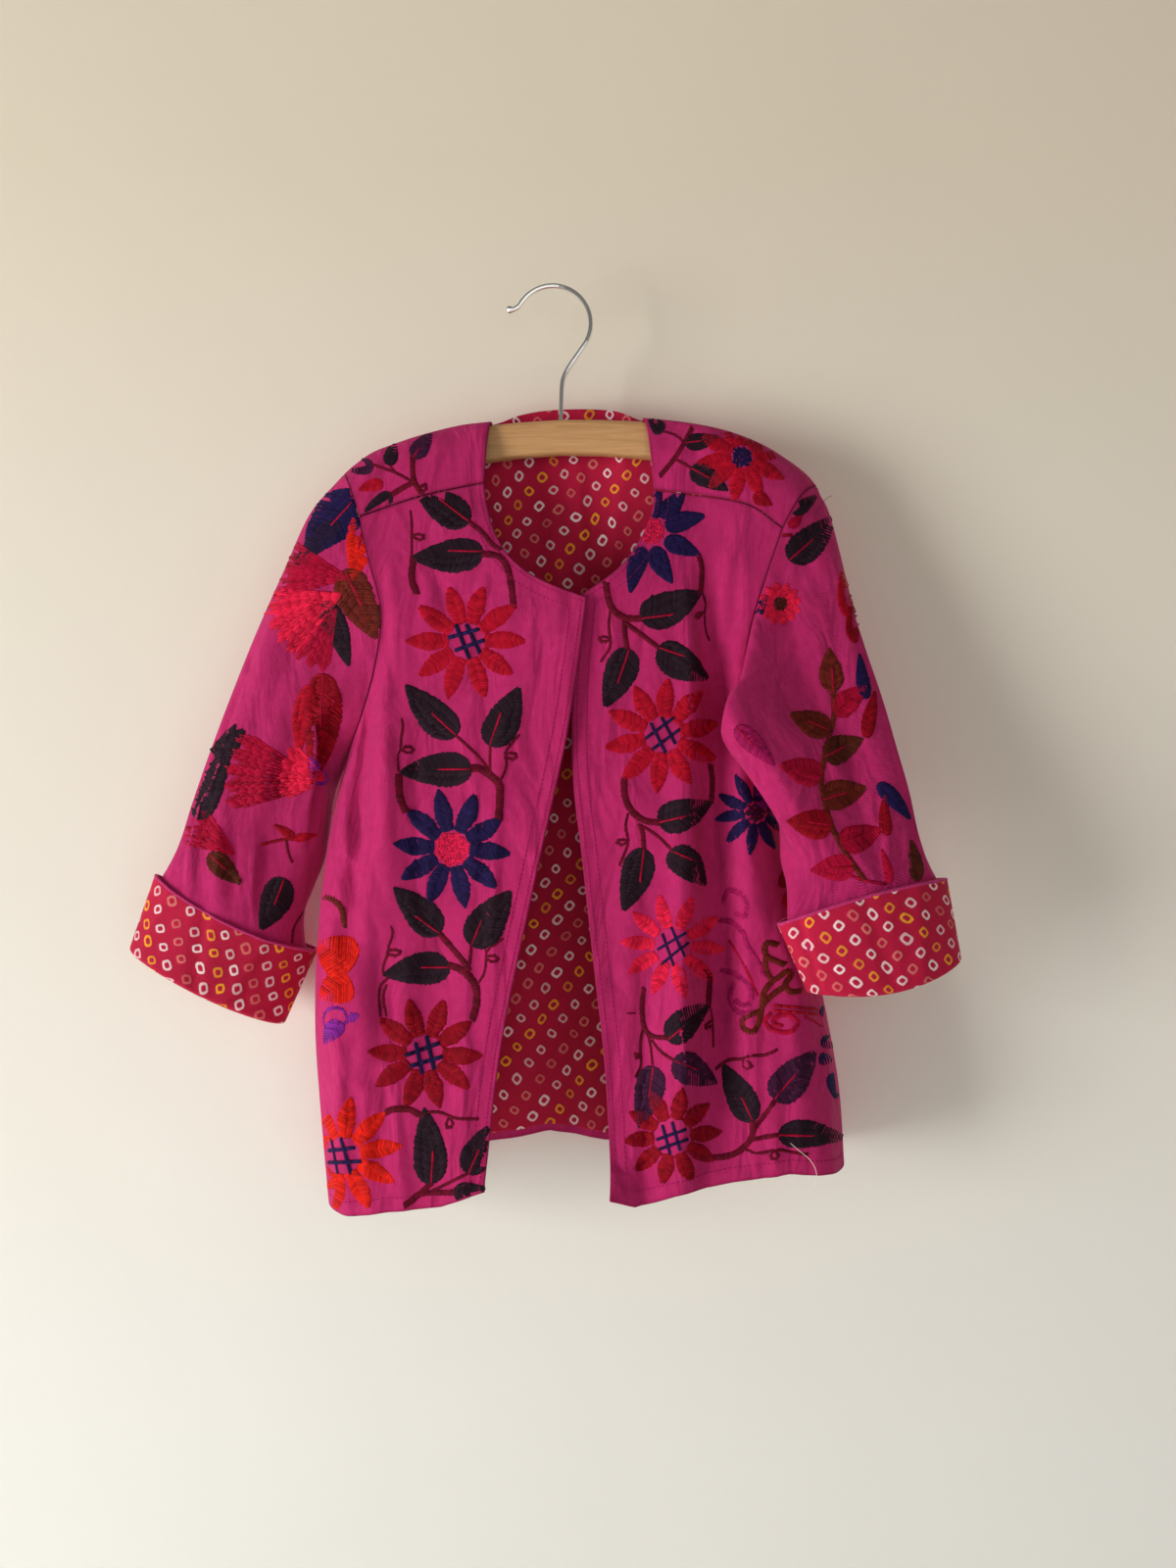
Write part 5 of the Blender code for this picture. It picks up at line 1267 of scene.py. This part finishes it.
# Panel, colour, and the width and points of each stem
STEMS = [
    ("front_right", "maroon", [
        (4, [(478, 532), (492, 543), (502, 555), (512, 562)]),
        (6, [(492, 565), (502, 566), (511, 569), (518, 580), (522, 600), (524, 619)]),
        (3, [(519, 578), (527, 568)]),
        (2.6, [(419, 521), (420, 535), (420, 546), (420, 567)]),
        (2.6, [(420, 546), (429, 545), (434, 547), (430, 552), (420, 547)]),
        (6.5, [(422, 569), (420, 590), (425, 605)]),
        (3, [(465, 750), (483, 767), (496, 781), (499, 791)]),
        (3, [(500, 760), (500, 780), (500, 791)]),
        (7, [(480, 784), (489, 784), (500, 791), (509, 800), (510, 812), (509, 835)]),
        (2.6, [(509, 798), (515, 788), (517, 775), (515, 768), (530, 750)]),
        (2.6, [(517, 773), (523, 776), (528, 772), (525, 768), (517, 769)]),
        (2.6, [(410, 733), (411, 739), (409, 757), (409, 765), (405, 775), (409, 794)]),
        (2.6, [(409, 765), (417, 769), (423, 766), (417, 761), (410, 764)]),
        (7, [(407, 792), (407, 803), (409, 817), (414, 828)]),
        (5, [(448, 952), (460, 966), (472, 980), (478, 989)]),
        (3, [(481, 964), (480, 975), (478, 989)]),
        (7, [(458, 985), (470, 989), (480, 998), (486, 1009), (486, 1026), (482, 1040)]),
        (2.6, [(486, 1005), (494, 994), (496, 977), (496, 969), (502, 966), (513, 958)]),
        (2.6, [(496, 978), (502, 982), (509, 980), (506, 975), (498, 976)]),
        (2.6, [(399, 945), (401, 953), (396, 967), (396, 974), (391, 984), (391, 994)]),
        (2.6, [(397, 974), (403, 976), (410, 972), (405, 969), (397, 970)]),
        (3, [(397, 997), (387, 1009), (388, 1037)]),
        (3, [(395, 1005), (391, 1015), (394, 1037)]),
        (6, [(394, 1135), (401, 1132), (417, 1132), (427, 1137), (432, 1138)]),
        (3, [(436, 1135), (450, 1135), (464, 1141), (488, 1142)]),
        (2.6, [(458, 1141), (454, 1149), (459, 1152), (463, 1146), (459, 1141)]),
        (5, [(440, 1207), (432, 1215), (424, 1222), (413, 1230)]),
        (3, [(478, 1197), (458, 1207), (440, 1216)]),
        (5, [(463, 1217), (440, 1217), (427, 1219), (419, 1226)]),
    ]),
    ("front_right", "brown", [
        (4.5, [(329, 915), (340, 918), (349, 929), (351, 945)]),
    ]),
    ("front_right", "purple", [
        (3, [(332, 1050), (330, 1036), (340, 1028), (352, 1032), (354, 1044), (344, 1046)]),
    ]),
    ("yoke_right", "maroon", [
        (4.5, [(421, 466), (421, 480), (423, 492), (430, 503)]),
        (3, [(420, 491), (403, 482), (380, 474)]),
        (2.6, [(398, 475), (403, 482)]),
        (4.5, [(420, 493), (409, 499), (399, 505)]),
        (2.6, [(430, 503), (436, 499), (434, 493), (429, 497)]),
    ]),
    ("front_left", "maroon", [
        (4.5, [(713, 567), (716, 578), (716, 592), (715, 603)]),
        (2.6, [(716, 604), (720, 614), (719, 625), (720, 643), (724, 654)]),
        (2.6, [(719, 625), (712, 625), (709, 630), (713, 631), (717, 626)]),
        (6, [(618, 590), (619, 602), (623, 618), (631, 627), (641, 631), (655, 631)]),
        (2.8, [(623, 623), (621, 637), (623, 654), (622, 662), (613, 675)]),
        (2.6, [(622, 651), (615, 649), (610, 652), (615, 656), (622, 653)]),
        (4, [(637, 635), (638, 649), (640, 662)]),
        (3.6, [(639, 636), (655, 648), (671, 660)]),
        (6, [(637, 795), (637, 809), (641, 822), (649, 832), (660, 838), (673, 839)]),
        (4, [(725, 781), (727, 797), (726, 818)]),
        (3.6, [(653, 842), (656, 851), (657, 866)]),
        (3, [(656, 843), (671, 853), (684, 866)]),
        (2.6, [(641, 830), (638, 844), (641, 860), (632, 883)]),
        (2.6, [(640, 860), (633, 863), (628, 859), (633, 856), (640, 858)]),
        (3.6, [(657, 1009), (655, 1026), (657, 1047), (665, 1057), (681, 1059)]),
        (5, [(720, 990), (724, 998), (723, 1023)]),
        (2.6, [(724, 1025), (727, 1040), (728, 1068)]),
        (2.6, [(726, 1042), (719, 1046), (721, 1051), (726, 1047)]),
        (2.6, [(656, 1049), (653, 1066), (654, 1087), (648, 1099)]),
        (2.6, [(653, 1075), (648, 1074), (648, 1080), (654, 1078)]),
        (2.6, [(661, 1056), (664, 1068), (666, 1088)]),
        (3, [(665, 1061), (675, 1074), (688, 1082)]),
        (3, [(730, 1091), (744, 1081), (756, 1081), (766, 1077), (780, 1077), (793, 1071)]),
        (2.6, [(758, 1082), (758, 1089), (763, 1091), (768, 1088), (762, 1082)]),
        (5.5, [(768, 1143), (768, 1157), (761, 1169), (745, 1179), (718, 1182)]),
        (3.6, [(792, 1121), (781, 1137), (769, 1152)]),
        (3.6, [(796, 1158), (782, 1160), (768, 1163)]),
        (3, [(757, 1171), (774, 1177), (794, 1173), (808, 1176), (824, 1178)]),
        (2.6, [(790, 1174), (785, 1180), (790, 1184), (795, 1179), (791, 1174)]),
    ]),
    ("front_left", "tone", [
        (3.6, [(738, 921), (744, 908), (759, 915), (762, 928), (759, 936), (752, 932)]),
        (3.6, [(735, 939), (747, 941), (759, 952), (762, 963), (775, 984), (779, 995)]),
        (3.6, [(737, 990), (752, 995), (766, 1008), (766, 1022), (759, 1026), (751, 1021)]),
        (3.6, [(749, 1004), (745, 1018), (752, 1032), (766, 1033)]),
    ]),
    ("front_left", "crimson", [
        (3.6, [(786, 1035), (780, 1042), (789, 1051), (806, 1053), (814, 1044), (806, 1036),
             (793, 1037), (789, 1044), (797, 1047)]),
        (2.8, [(744, 960), (759, 984), (773, 1016)]),
        (2.8, [(821, 1037), (839, 1047)]),
    ]),
    ("front_left", "brown", [
        (5, [(793, 964), (783, 962), (780, 970), (784, 977), (800, 984)]),
        (5, [(781, 979), (782, 990), (789, 1000), (803, 991), (807, 995), (801, 1005), (807, 1012),
             (817, 1011)]),
        (5, [(800, 1007), (787, 1016), (778, 1026)]),
        (5, [(789, 1000), (780, 1012), (777, 1032), (773, 1046), (768, 1053), (759, 1049), (759, 1039),
             (775, 1032)]),
    ]),
    ("yoke_left", "maroon", [
        (3.6, [(674, 485), (688, 468), (698, 452), (706, 437)]),
        (3, [(688, 468), (700, 474), (707, 479)]),
        (2.6, [(698, 452), (690, 444), (677, 440)]),
    ]),
    ("sleeve_left", "brown", [
        (4.5, [(850, 702), (851, 730), (843, 765), (838, 795), (842, 822)]),
        (4.5, [(842, 822), (850, 846), (864, 872), (882, 898)]),
    ]),
    ("sleeve_left", "crimson", [
        (3, [(842, 896), (862, 892), (880, 898), (904, 902)]),
    ]),
    ("sleeve_left", "darkred", [
        (2.6, [(866, 585), (870, 606), (876, 640)]),
    ]),
    ("sleeve_right", "darkred", [
        (3, [(266, 862), (282, 858), (300, 855), (322, 852)]),
    ]),
    ("sleeve_right", "maroon", [
        (2.6, [(292, 856), (294, 870), (298, 880)]),
        (3, [(310, 930), (300, 946), (298, 962)]),
    ]),
]
rng = np.random.default_rng(EMBROIDERY_SEED)
threads = []


def satin(panel, colour, start, end, width=THREAD_WIDTH, lift=0.0):
    """A thread between two points of the frame, laid in several stitches where it is long."""
    start, end = np.array(start, dtype=float), np.array(end, dtype=float)
    count = max(1, math.ceil(float(np.linalg.norm(end - start)) / LONGEST_STITCH))
    cuts = np.linspace(0.0, 1.0, count + 1)
    cuts[1:-1] += rng.uniform(-CUT_SPREAD, CUT_SPREAD, count - 1) / count
    strand = rng.uniform()
    over = (end - start) / max(float(np.linalg.norm(end - start)), 1e-6) * OVERLAP
    for before, after in zip(cuts, cuts[1:]):
        threads.append((panel, colour, start + (end - start) * before - over,
                        start + (end - start) * after + over, width, lift, strand))


def blade(panel, base, tip, width, colour, widest, slant, ragged, waist=0.0):
    """A leaf or petal: stitches slanting out to both sides of its middle line."""
    base, tip = np.array(base, dtype=float), np.array(tip, dtype=float)
    length = float(np.linalg.norm(tip - base))
    ahead = (tip - base) / length
    aside = np.array([ahead[1], -ahead[0]])
    bow = rng.uniform(-MOST_BOW, MOST_BOW) * length
    for side in (1.0, -1.0):
        for run in np.arange(THREAD_PITCH * 0.6, length, THREAD_PITCH):
            share = run / length
            half = width / 2.0 * max(math.sin(math.pi * share ** widest) ** 0.72, waist * (share < 0.5))
            half *= 1.0 + rng.uniform(-ragged, ragged)
            root = max(run - half * slant, 0.0)
            bend = aside * bow * math.sin(math.pi * share)
            satin(panel, colour, base + ahead * root - aside * side * 0.9 + bend,
                  base + ahead * run + aside * side * max(half, 0.8) + bend)


def stem(panel, width, colour, points, lift=0.0):
    """Short crossing stitches along a thick stem, or overlapping stitches along a thin one."""
    path = through(points, 8)
    length = float(np.linalg.norm(np.diff(path, axis=0), axis=1).sum())
    path = at_shares(path, np.linspace(0.0, 1.0, max(3, round(length / (THREAD_PITCH * 1.1)))))
    ahead = np.gradient(path, axis=0)
    ahead /= np.maximum(np.linalg.norm(ahead, axis=1, keepdims=True), 1e-6)
    aside = np.column_stack([ahead[:, 1], -ahead[:, 0]])
    for place, (spot, on, over) in enumerate(zip(path, ahead, aside)):
        if width > THIN_STEM:
            reach = width / 2.0 * (1.0 + rng.uniform(-0.12, 0.12))
            satin(panel, colour, spot - over * reach - on * 1.2, spot + over * reach + on * 1.2, lift=lift)
        elif place % 2 == 0 and place + 1 < len(path):
            end = path[min(place + 3, len(path) - 1)]
            satin(panel, colour, spot - over * 0.3, end + over * 0.3, width=width, lift=lift)


def fan(panel, centre, inner, outer, start, end, lobes, colour):
    """A spray of long threads from a centre, with a scalloped outer edge."""
    sweep = math.radians(end - start)
    count = int(outer * 1.1 * abs(sweep) / THREAD_PITCH)
    for step in range(count + 1):
        share = step / count
        turn = math.radians(start) + sweep * share
        reach = outer * (0.86 + 0.14 * abs(math.sin(math.pi * lobes * share))) * rng.uniform(0.97, 1.03)
        way = np.array([math.cos(turn), -math.sin(turn)])
        middle = inner + (reach - inner) * 0.42
        if step % 3 == 0:
            satin(panel, colour, np.array(centre) + way * inner, np.array(centre) + way * middle)
        satin(panel, colour, np.array(centre) + way * middle, np.array(centre) + way * reach)


for panel, leaves in LEAVES.items():
    for base, tip, width, colour, vein in leaves:
        blade(panel, base, tip, width, colour, *LEAF_SHAPE)
        if vein is not None:
            vein_colour = "crimson" if colour != "crimson" else "darkred"
            stem(panel, VEIN_WIDTH, vein_colour, [base, vein], lift=VEIN_LIFT)
for spray in FANS:
    fan(*spray)
for panel, centre, first, petals, reach, width, colour in FLOWERS:
    inner = INNER_REACH.get(panel, 19 if reach > LARGE_FLOWER else 12)
    for petal in range(petals):
        turn = math.radians(first + 360.0 / petals * petal)
        way = np.array([math.cos(turn), -math.sin(turn)])
        outer = reach * rng.uniform(0.96, 1.03)
        blade(panel, np.array(centre) + way * inner, np.array(centre) + way * outer, width, colour,
              *PETAL_SHAPE, waist=PETAL_WAIST)
for panel, centre, reach, colour in KNOTS:
    for across in np.arange(-reach, reach + 0.1, KNOT_STEP):
        for down in np.arange(-reach, reach + 0.1, KNOT_STEP):
            if math.hypot(across, down) <= reach:
                turn = rng.uniform(0.0, math.pi)
                spot = np.array(centre) + (across, down) + rng.uniform(-KNOT_WANDER, KNOT_WANDER, 2)
                way = np.array([math.cos(turn), math.sin(turn)]) * KNOT_HALF_LENGTH
                satin(panel, colour, spot - way, spot + way)
for panel, width, colour, lines in BARS:
    for start, end in lines:
        satin(panel, colour, start, end, width=width, lift=BAR_LIFT)
for panel, colour, stems in STEMS:
    for width, points in stems:
        stem(panel, width, colour, points)


def thread_material(name, colour):
    """Stranded cotton: nearly matt, with twisted plies along each stitch, painted shade down both sides of
    each stitch and along its plies, and threads that differ.
    """
    made, tree, shader = cloth_material("thread_" + name, 0.62, 0.0, (*colour, 1.0))
    shader.inputs["Specular IOR Level"].default_value = 0.07
    strand = add_node(tree, "Attribute", attribute_name="strand").outputs["Fac"]
    place = add_node(tree, "SeparateXYZ", {0: add_node(tree, "UVMap", uv_map="cloth").outputs[0]}).outputs
    twist = maths(tree, "MULTIPLY_ADD", place[0], 7500.0, maths(tree, "MULTIPLY", place[1], 3.0))
    twist = maths(tree, "SINE", maths(tree, "MULTIPLY_ADD", strand, 40.0, twist))
    side = maths(tree, "POWER", maths(tree, "ABSOLUTE", place[1]), 2.0)
    # Painted shade: each stitch darkens towards both its sides, and light and dark bands run along its plies.
    shade = maths(tree, "MULTIPLY_ADD", strand, 0.6, 1.0)
    shade = maths(tree, "MULTIPLY_ADD", twist, 0.10, shade)
    shade = maths(tree, "MULTIPLY_ADD", side, -0.95, shade)
    tree.links.new(shaded(tree, (*colour, 1.0), shade, 1.0), shader.inputs["Base Color"])
    bump = add_node(tree, "Bump", {"Height": twist, "Strength": 0.35, "Distance": 0.0002})
    tree.links.new(bump.outputs[0], shader.inputs["Normal"])
    return made


THREAD_MATERIALS = {name: thread_material(name, colour) for name, colour in THREADS.items()}
# A stitch's faces over its points: near end, left, top and right near it, the same three far, far end
STITCH_FACES = [(0, 2, 1), (0, 3, 2), (1, 2, 5, 4), (2, 3, 6, 5), (7, 4, 5), (7, 5, 6)]


def cloth_tree(name):
    piece = bpy.data.objects[name]
    return BVHTree.FromPolygons([vertex.co for vertex in piece.data.vertices],
                                [tuple(face.vertices) for face in piece.data.polygons])


def dropped(tree, spot):
    """Where the line of sight through a point of the frame meets the cloth, and the normal there."""
    way = Vector(((spot[0] - FRAME_CENTRE[0]) * PIXEL, 1.0, (FRAME_CENTRE[1] - spot[1]) * PIXEL))
    place, normal, _, _ = tree.ray_cast(EYE, way.normalized())
    return (None, None) if place is None else (np.array(place), np.array(normal))


def stitched(name, laid):
    """One piece with all the stitches of a cloth piece: near, far, normal, width, lift, colour, strand."""
    colours = sorted({stitch[5] for stitch in laid})
    points, faces, slots, strands, maps = [], [], [], [], []
    for near, far, normal, width, lift, colour, strand in laid:
        along = far - near
        length = float(np.linalg.norm(along))
        left = np.cross(normal, along / length) * width / 2.0
        top = normal * (THREAD_HEIGHT * rng.uniform(0.85, 1.15) + lift) * MM
        base = normal * lift * MM * 0.9
        first = len(points)
        points.append(near - normal * SUNK * MM)
        for share in STATIONS:
            middle = near + along * share
            points += [middle + left + base, middle + top, middle - left + base]
        points.append(far - normal * SUNK * MM)
        flat = [(0.0, 0.0)] + [(length * share, way) for share in STATIONS for way in (-1.0, 0.0, 1.0)]
        flat.append((length, 0.0))
        strands += [strand] * 8
        for face in STITCH_FACES:
            faces.append([first + corner for corner in face])
            maps += [flat[corner] for corner in face]
            slots.append(colours.index(colour))
    mesh = bpy.data.meshes.new(name)
    mesh.from_pydata([tuple(point) for point in points], [], faces)
    mesh.uv_layers.new(name="cloth").uv.foreach_set("vector", np.array(maps, dtype=np.float32).ravel())
    mesh.polygons.foreach_set("material_index", np.array(slots, dtype=np.int32))
    mesh.attributes.new("strand", "FLOAT", "POINT").data.foreach_set("value", np.array(strands, np.float32))
    for colour in colours:
        mesh.materials.append(THREAD_MATERIALS[colour])
    piece = placed(name, mesh)
    return piece


PIXEL_SIZE = MM_PER_PIXEL * MM
FAR_JUMP = 3.0
MOST_BULGE = 1.2
for panel in sorted({thread[0] for thread in threads}):
    tree = cloth_tree(panel + "_cloth")
    laid = []
    for owner, colour, start, end, width, lift, strand in threads:
        if owner != panel:
            continue
        (near, near_normal), (far, far_normal) = dropped(tree, start), dropped(tree, end)
        if near is None or far is None:
            continue
        length = float(np.linalg.norm(far - near))
        if not 1e-4 < length < (np.linalg.norm(end - start) + 3.0) * PIXEL_SIZE * FAR_JUMP:
            continue
        normal = near_normal + far_normal
        normal /= max(float(np.linalg.norm(normal)), 1e-6)
        middle = dropped(tree, (start + end) / 2.0)[0]
        if middle is not None:
            bulge = float((middle - (near + far) / 2.0) @ normal)
            lift += min(max(bulge / MM, 0.0), MOST_BULGE)
        laid.append((near, far, normal, width * PIXEL_SIZE, lift, colour, strand))
    stitched("embroidery_" + panel, laid)

# The topstitching
# A row of machine stitches 3 mm from the fronts' edges, a second one 9 mm in that holds the facing,
# and one above the hem.
STITCH_STEP = 2.9
STITCH_LONG = 2.1
EDGE_ROWS = (3.2, 9.2)
HEM_ROW = 8.6
STITCH_WIDE = 0.6


def inside_row(path, way, distance):
    """A path in the plane of the front, set in from another one by a distance."""
    ahead = np.gradient(path, axis=0)
    ahead /= np.linalg.norm(ahead, axis=1, keepdims=True)
    moved = path + np.column_stack([ahead[:, 1], -ahead[:, 0]]) * way * distance
    gaps = np.linalg.norm(moved[:, None] - path[None, :], axis=2).min(axis=1)
    return moved[gaps > distance * 0.97]


def sewn_line(tree, path, away):
    """Stitches along a path of x and z in mm, met from the front or the back."""
    length = float(np.linalg.norm(np.diff(path, axis=0), axis=1).sum())
    made = []
    for place in np.arange(1.0, length - STITCH_LONG, STITCH_STEP):
        ends = at_shares(path, [place / length, (place + STITCH_LONG) / length]) * MM
        hits = [tree.ray_cast(Vector((x, -0.3 * away, z)), Vector((0.0, away, 0.0))) for x, z in ends]
        if all(hit[0] is not None for hit in hits):
            near, far = (np.array(hit[0]) for hit in hits)
            if np.linalg.norm(far - near) < STITCH_LONG * MM * FAR_JUMP:
                made.append((near, far, np.array(hits[0][1]), STITCH_WIDE * MM, 0.0, "seam", 0.5))
    return made


for side, grid in fronts.items():
    tree = cloth_tree("front_" + side + "_cloth")
    edge, hem = grid[:, 0][:, [0, 2]], grid[-1, 1:-2][:, [0, 2]]
    laid = []
    for distance in EDGE_ROWS:
        laid += sewn_line(tree, inside_row(edge, FACING[side], distance), 1.0)
    laid += sewn_line(tree, inside_row(hem, FACING[side], HEM_ROW), 1.0)
    stitched("topstitching_front_" + side, laid)
laid = sewn_line(cloth_tree("back_cloth"), inside_row(back[-1, 2:-2][:, [0, 2]], -1.0, HEM_ROW), -1.0)
stitched("topstitching_back", laid)

# Two loose threads
# One pale end hangs at the left hem, and a fine dark one stands off the left shoulder.
LOOSE = [
    ("loose_thread_hem", (806, 1166), [(813, 1172), (827, 1184), (833, 1198), (829, 1214), (822, 1227)],
     0.16, (0.80, 0.74, 0.62)),
    ("loose_thread_shoulder", (832, 524), [(838, 516), (843, 509), (849, 506)], 0.13, (0.05, 0.01, 0.03)),
]
for name, foot, points, radius, colour in LOOSE:
    panel = "front_left_cloth" if "hem" in name else "sleeve_left_cloth"
    start = dropped(cloth_tree(panel), foot)[0] / MM
    depth = (EYE_DISTANCE_MM + start[1]) / EYE_DISTANCE_MM * PIXEL_SIZE / MM
    line = [start] + [start + np.array([(x - foot[0]) * depth, -0.8, (foot[1] - y) * depth])
                      for x, y in points]
    swept_tube(name, through(line, 6), radius, 6, thread_material(name, colour))

# The hanger
# A bar of pale sanded pine, thickest in the middle, and a bent and polished steel wire hook with a
# ball at its tip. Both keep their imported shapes.


def pine_material():
    made, tree, shader = blank_material("pale_pine")
    place = add_node(tree, "TexCoord").outputs["Object"]
    leaned = add_node(tree, "Mapping", {"Vector": place, "Rotation": (0.3, 0.22, 0.5),
                                        "Scale": (9.0, 90.0, 150.0)})
    grain = add_node(tree, "TexNoise", {"Vector": leaned.outputs[0], "Scale": 1.0, "Detail": 5.0,
                                        "Distortion": 0.6}).outputs[0]
    rings = maths(tree, "SINE", maths(tree, "MULTIPLY", grain, 34.0))
    share = maths(tree, "MULTIPLY_ADD", rings, 0.22, 0.42, clamp=True)
    colour = mixed(tree, share, (0.56, 0.305, 0.125, 1.0), (0.44, 0.215, 0.078, 1.0))
    pores = add_node(tree, "TexNoise", {"Vector": leaned.outputs[0], "Scale": 9.0, "Detail": 3.0}).outputs[0]
    colour = shaded(tree, colour, maths(tree, "MULTIPLY_ADD", pores, 0.4, 0.82), 1.0)
    tree.links.new(colour, shader.inputs["Base Color"])
    tree.links.new(maths(tree, "MULTIPLY_ADD", pores, 0.2, 0.42), shader.inputs["Roughness"])
    bump = add_node(tree, "Bump", {"Height": share, "Strength": 0.15, "Distance": 0.0003})
    tree.links.new(bump.outputs[0], shader.inputs["Normal"])
    return made


def chrome_material():
    made, tree, shader = blank_material("polished_chrome")
    shader.inputs["Base Color"].default_value = (0.78, 0.77, 0.75, 1.0)
    shader.inputs["Metallic"].default_value = 1.0
    place = add_node(tree, "TexCoord").outputs["Object"]
    smear = add_node(tree, "TexNoise", {"Vector": place, "Scale": 260.0, "Detail": 4.0}).outputs[0]
    tree.links.new(maths(tree, "MULTIPLY_ADD", smear, 0.12, 0.08), shader.inputs["Roughness"])
    return made


for name, made in (("hanger_bar", pine_material()), ("hanger_hook", chrome_material())):
    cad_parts[name].material_slots[0].material = made
    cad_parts[name].data.shade_smooth()

# The wall and the floor
# A plain pale painted wall that the jacket hangs against, seen from the front only, and a pale floor
# well below.
WALL_Y = 0.034
FLOOR_Z = -1.35
ROOM = 3.0


def plain_piece(name, corners, made_of):
    mesh = bpy.data.meshes.new(name)
    mesh.from_pydata(corners, [], [(0, 1, 2, 3)])
    mesh.materials.append(made_of)
    piece = bpy.data.objects.new(name, mesh)
    bpy.context.scene.collection.objects.link(piece)
    return piece


def wall_material():
    """Matt paint with a faint roller texture. Its back, and its shadow, let light through."""
    made, tree, shader = blank_material("painted_wall")
    shader.inputs["Roughness"].default_value = 0.9
    shader.inputs["Specular IOR Level"].default_value = 0.2
    place = add_node(tree, "TexCoord").outputs["Object"]
    soft = add_node(tree, "TexNoise", {"Vector": place, "Scale": 3.0, "Detail": 2.0}).outputs[0]
    fine = add_node(tree, "TexNoise", {"Vector": place, "Scale": 420.0, "Detail": 3.0}).outputs[0]
    # The colour runs from a warmer, darker tone at the top to a paler one lower down.
    height = add_node(tree, "SeparateXYZ", {0: place}).outputs[2]
    low = add_node(tree, "MapRange", {0: height, 1: 0.10, 2: -0.75, 3: 0.0, 4: 1.0}, clamp=True).outputs[0]
    colour = mixed(tree, low, (0.74, 0.655, 0.525, 1.0), (0.82, 0.81, 0.765, 1.0))
    colour = shaded(tree, colour, maths(tree, "MULTIPLY_ADD", soft, 0.06, 0.97), 1.0)
    tree.links.new(colour, shader.inputs["Base Color"])
    bump = add_node(tree, "Bump", {"Height": fine, "Strength": 0.06, "Distance": 0.0006})
    tree.links.new(bump.outputs[0], shader.inputs["Normal"])
    clear = add_node(tree, "BsdfTransparent")
    seen = add_node(tree, "LightPath").outputs["Is Shadow Ray"]
    behind = add_node(tree, "NewGeometry").outputs["Backfacing"]
    share = maths(tree, "MAXIMUM", behind, seen)
    blend = add_node(tree, "MixShader", {0: share, 1: shader.outputs[0], 2: clear.outputs[0]})
    tree.links.new(blend.outputs[0], tree.nodes["Material Output"].inputs["Surface"])
    return made


def floor_material():
    made, tree, shader = blank_material("pale_floor")
    shader.inputs["Roughness"].default_value = 0.7
    place = add_node(tree, "TexCoord").outputs["Object"]
    soft = add_node(tree, "TexNoise", {"Vector": place, "Scale": 4.0, "Detail": 3.0}).outputs[0]
    tree.links.new(mixed(tree, soft, (0.70, 0.68, 0.64, 1.0), (0.76, 0.74, 0.70, 1.0)),
                   shader.inputs["Base Color"])
    return made


plain_piece("wall", [(-ROOM, WALL_Y, FLOOR_Z), (ROOM, WALL_Y, FLOOR_Z), (ROOM, WALL_Y, ROOM / 2),
                     (-ROOM, WALL_Y, ROOM / 2)], wall_material())
plain_piece("floor", [(-ROOM, -ROOM, FLOOR_Z), (ROOM, -ROOM, FLOOR_Z), (ROOM, ROOM, FLOOR_Z),
                      (-ROOM, ROOM, FLOOR_Z)], floor_material())

# The light
# Daylight from a broad source at the left, a weak wide fill from the front, and one behind for the
# views from the back.
AIM = Vector((0.02, 0.0, -0.34))
# Name, place, width, height, power, colour
LIGHTS = [
    ("window_light", (-2.35, -1.35, -0.6), 1.0, 1.4, 66.0, (1.0, 1.0, 0.985)),
    ("front_fill", (0.6, -2.4, -0.5), 2.2, 2.2, 15.0, (1.0, 0.98, 0.95)),
    ("back_light", (0.6, 2.0, 0.4), 1.6, 1.6, 30.0, (1.0, 0.98, 0.95)),
]
for name, place, width, height, power, colour in LIGHTS:
    data = bpy.data.lights.new(name, "AREA")
    data.shape, data.size, data.size_y = "RECTANGLE", width, height
    data.energy, data.color = power, colour
    light = bpy.data.objects.new(name, data)
    light.location = place
    light.rotation_euler = (AIM - light.location).to_track_quat("-Z", "Y").to_euler()
    bpy.context.scene.collection.objects.link(light)

world = bpy.data.worlds.new("soft_room")
world.use_nodes = True
world.node_tree.nodes["Background"].inputs["Color"].default_value = (1.0, 0.97, 0.93, 1.0)
world.node_tree.nodes["Background"].inputs["Strength"].default_value = 0.19
bpy.context.scene.world = world
bpy.context.scene.view_settings.view_transform = "Standard"
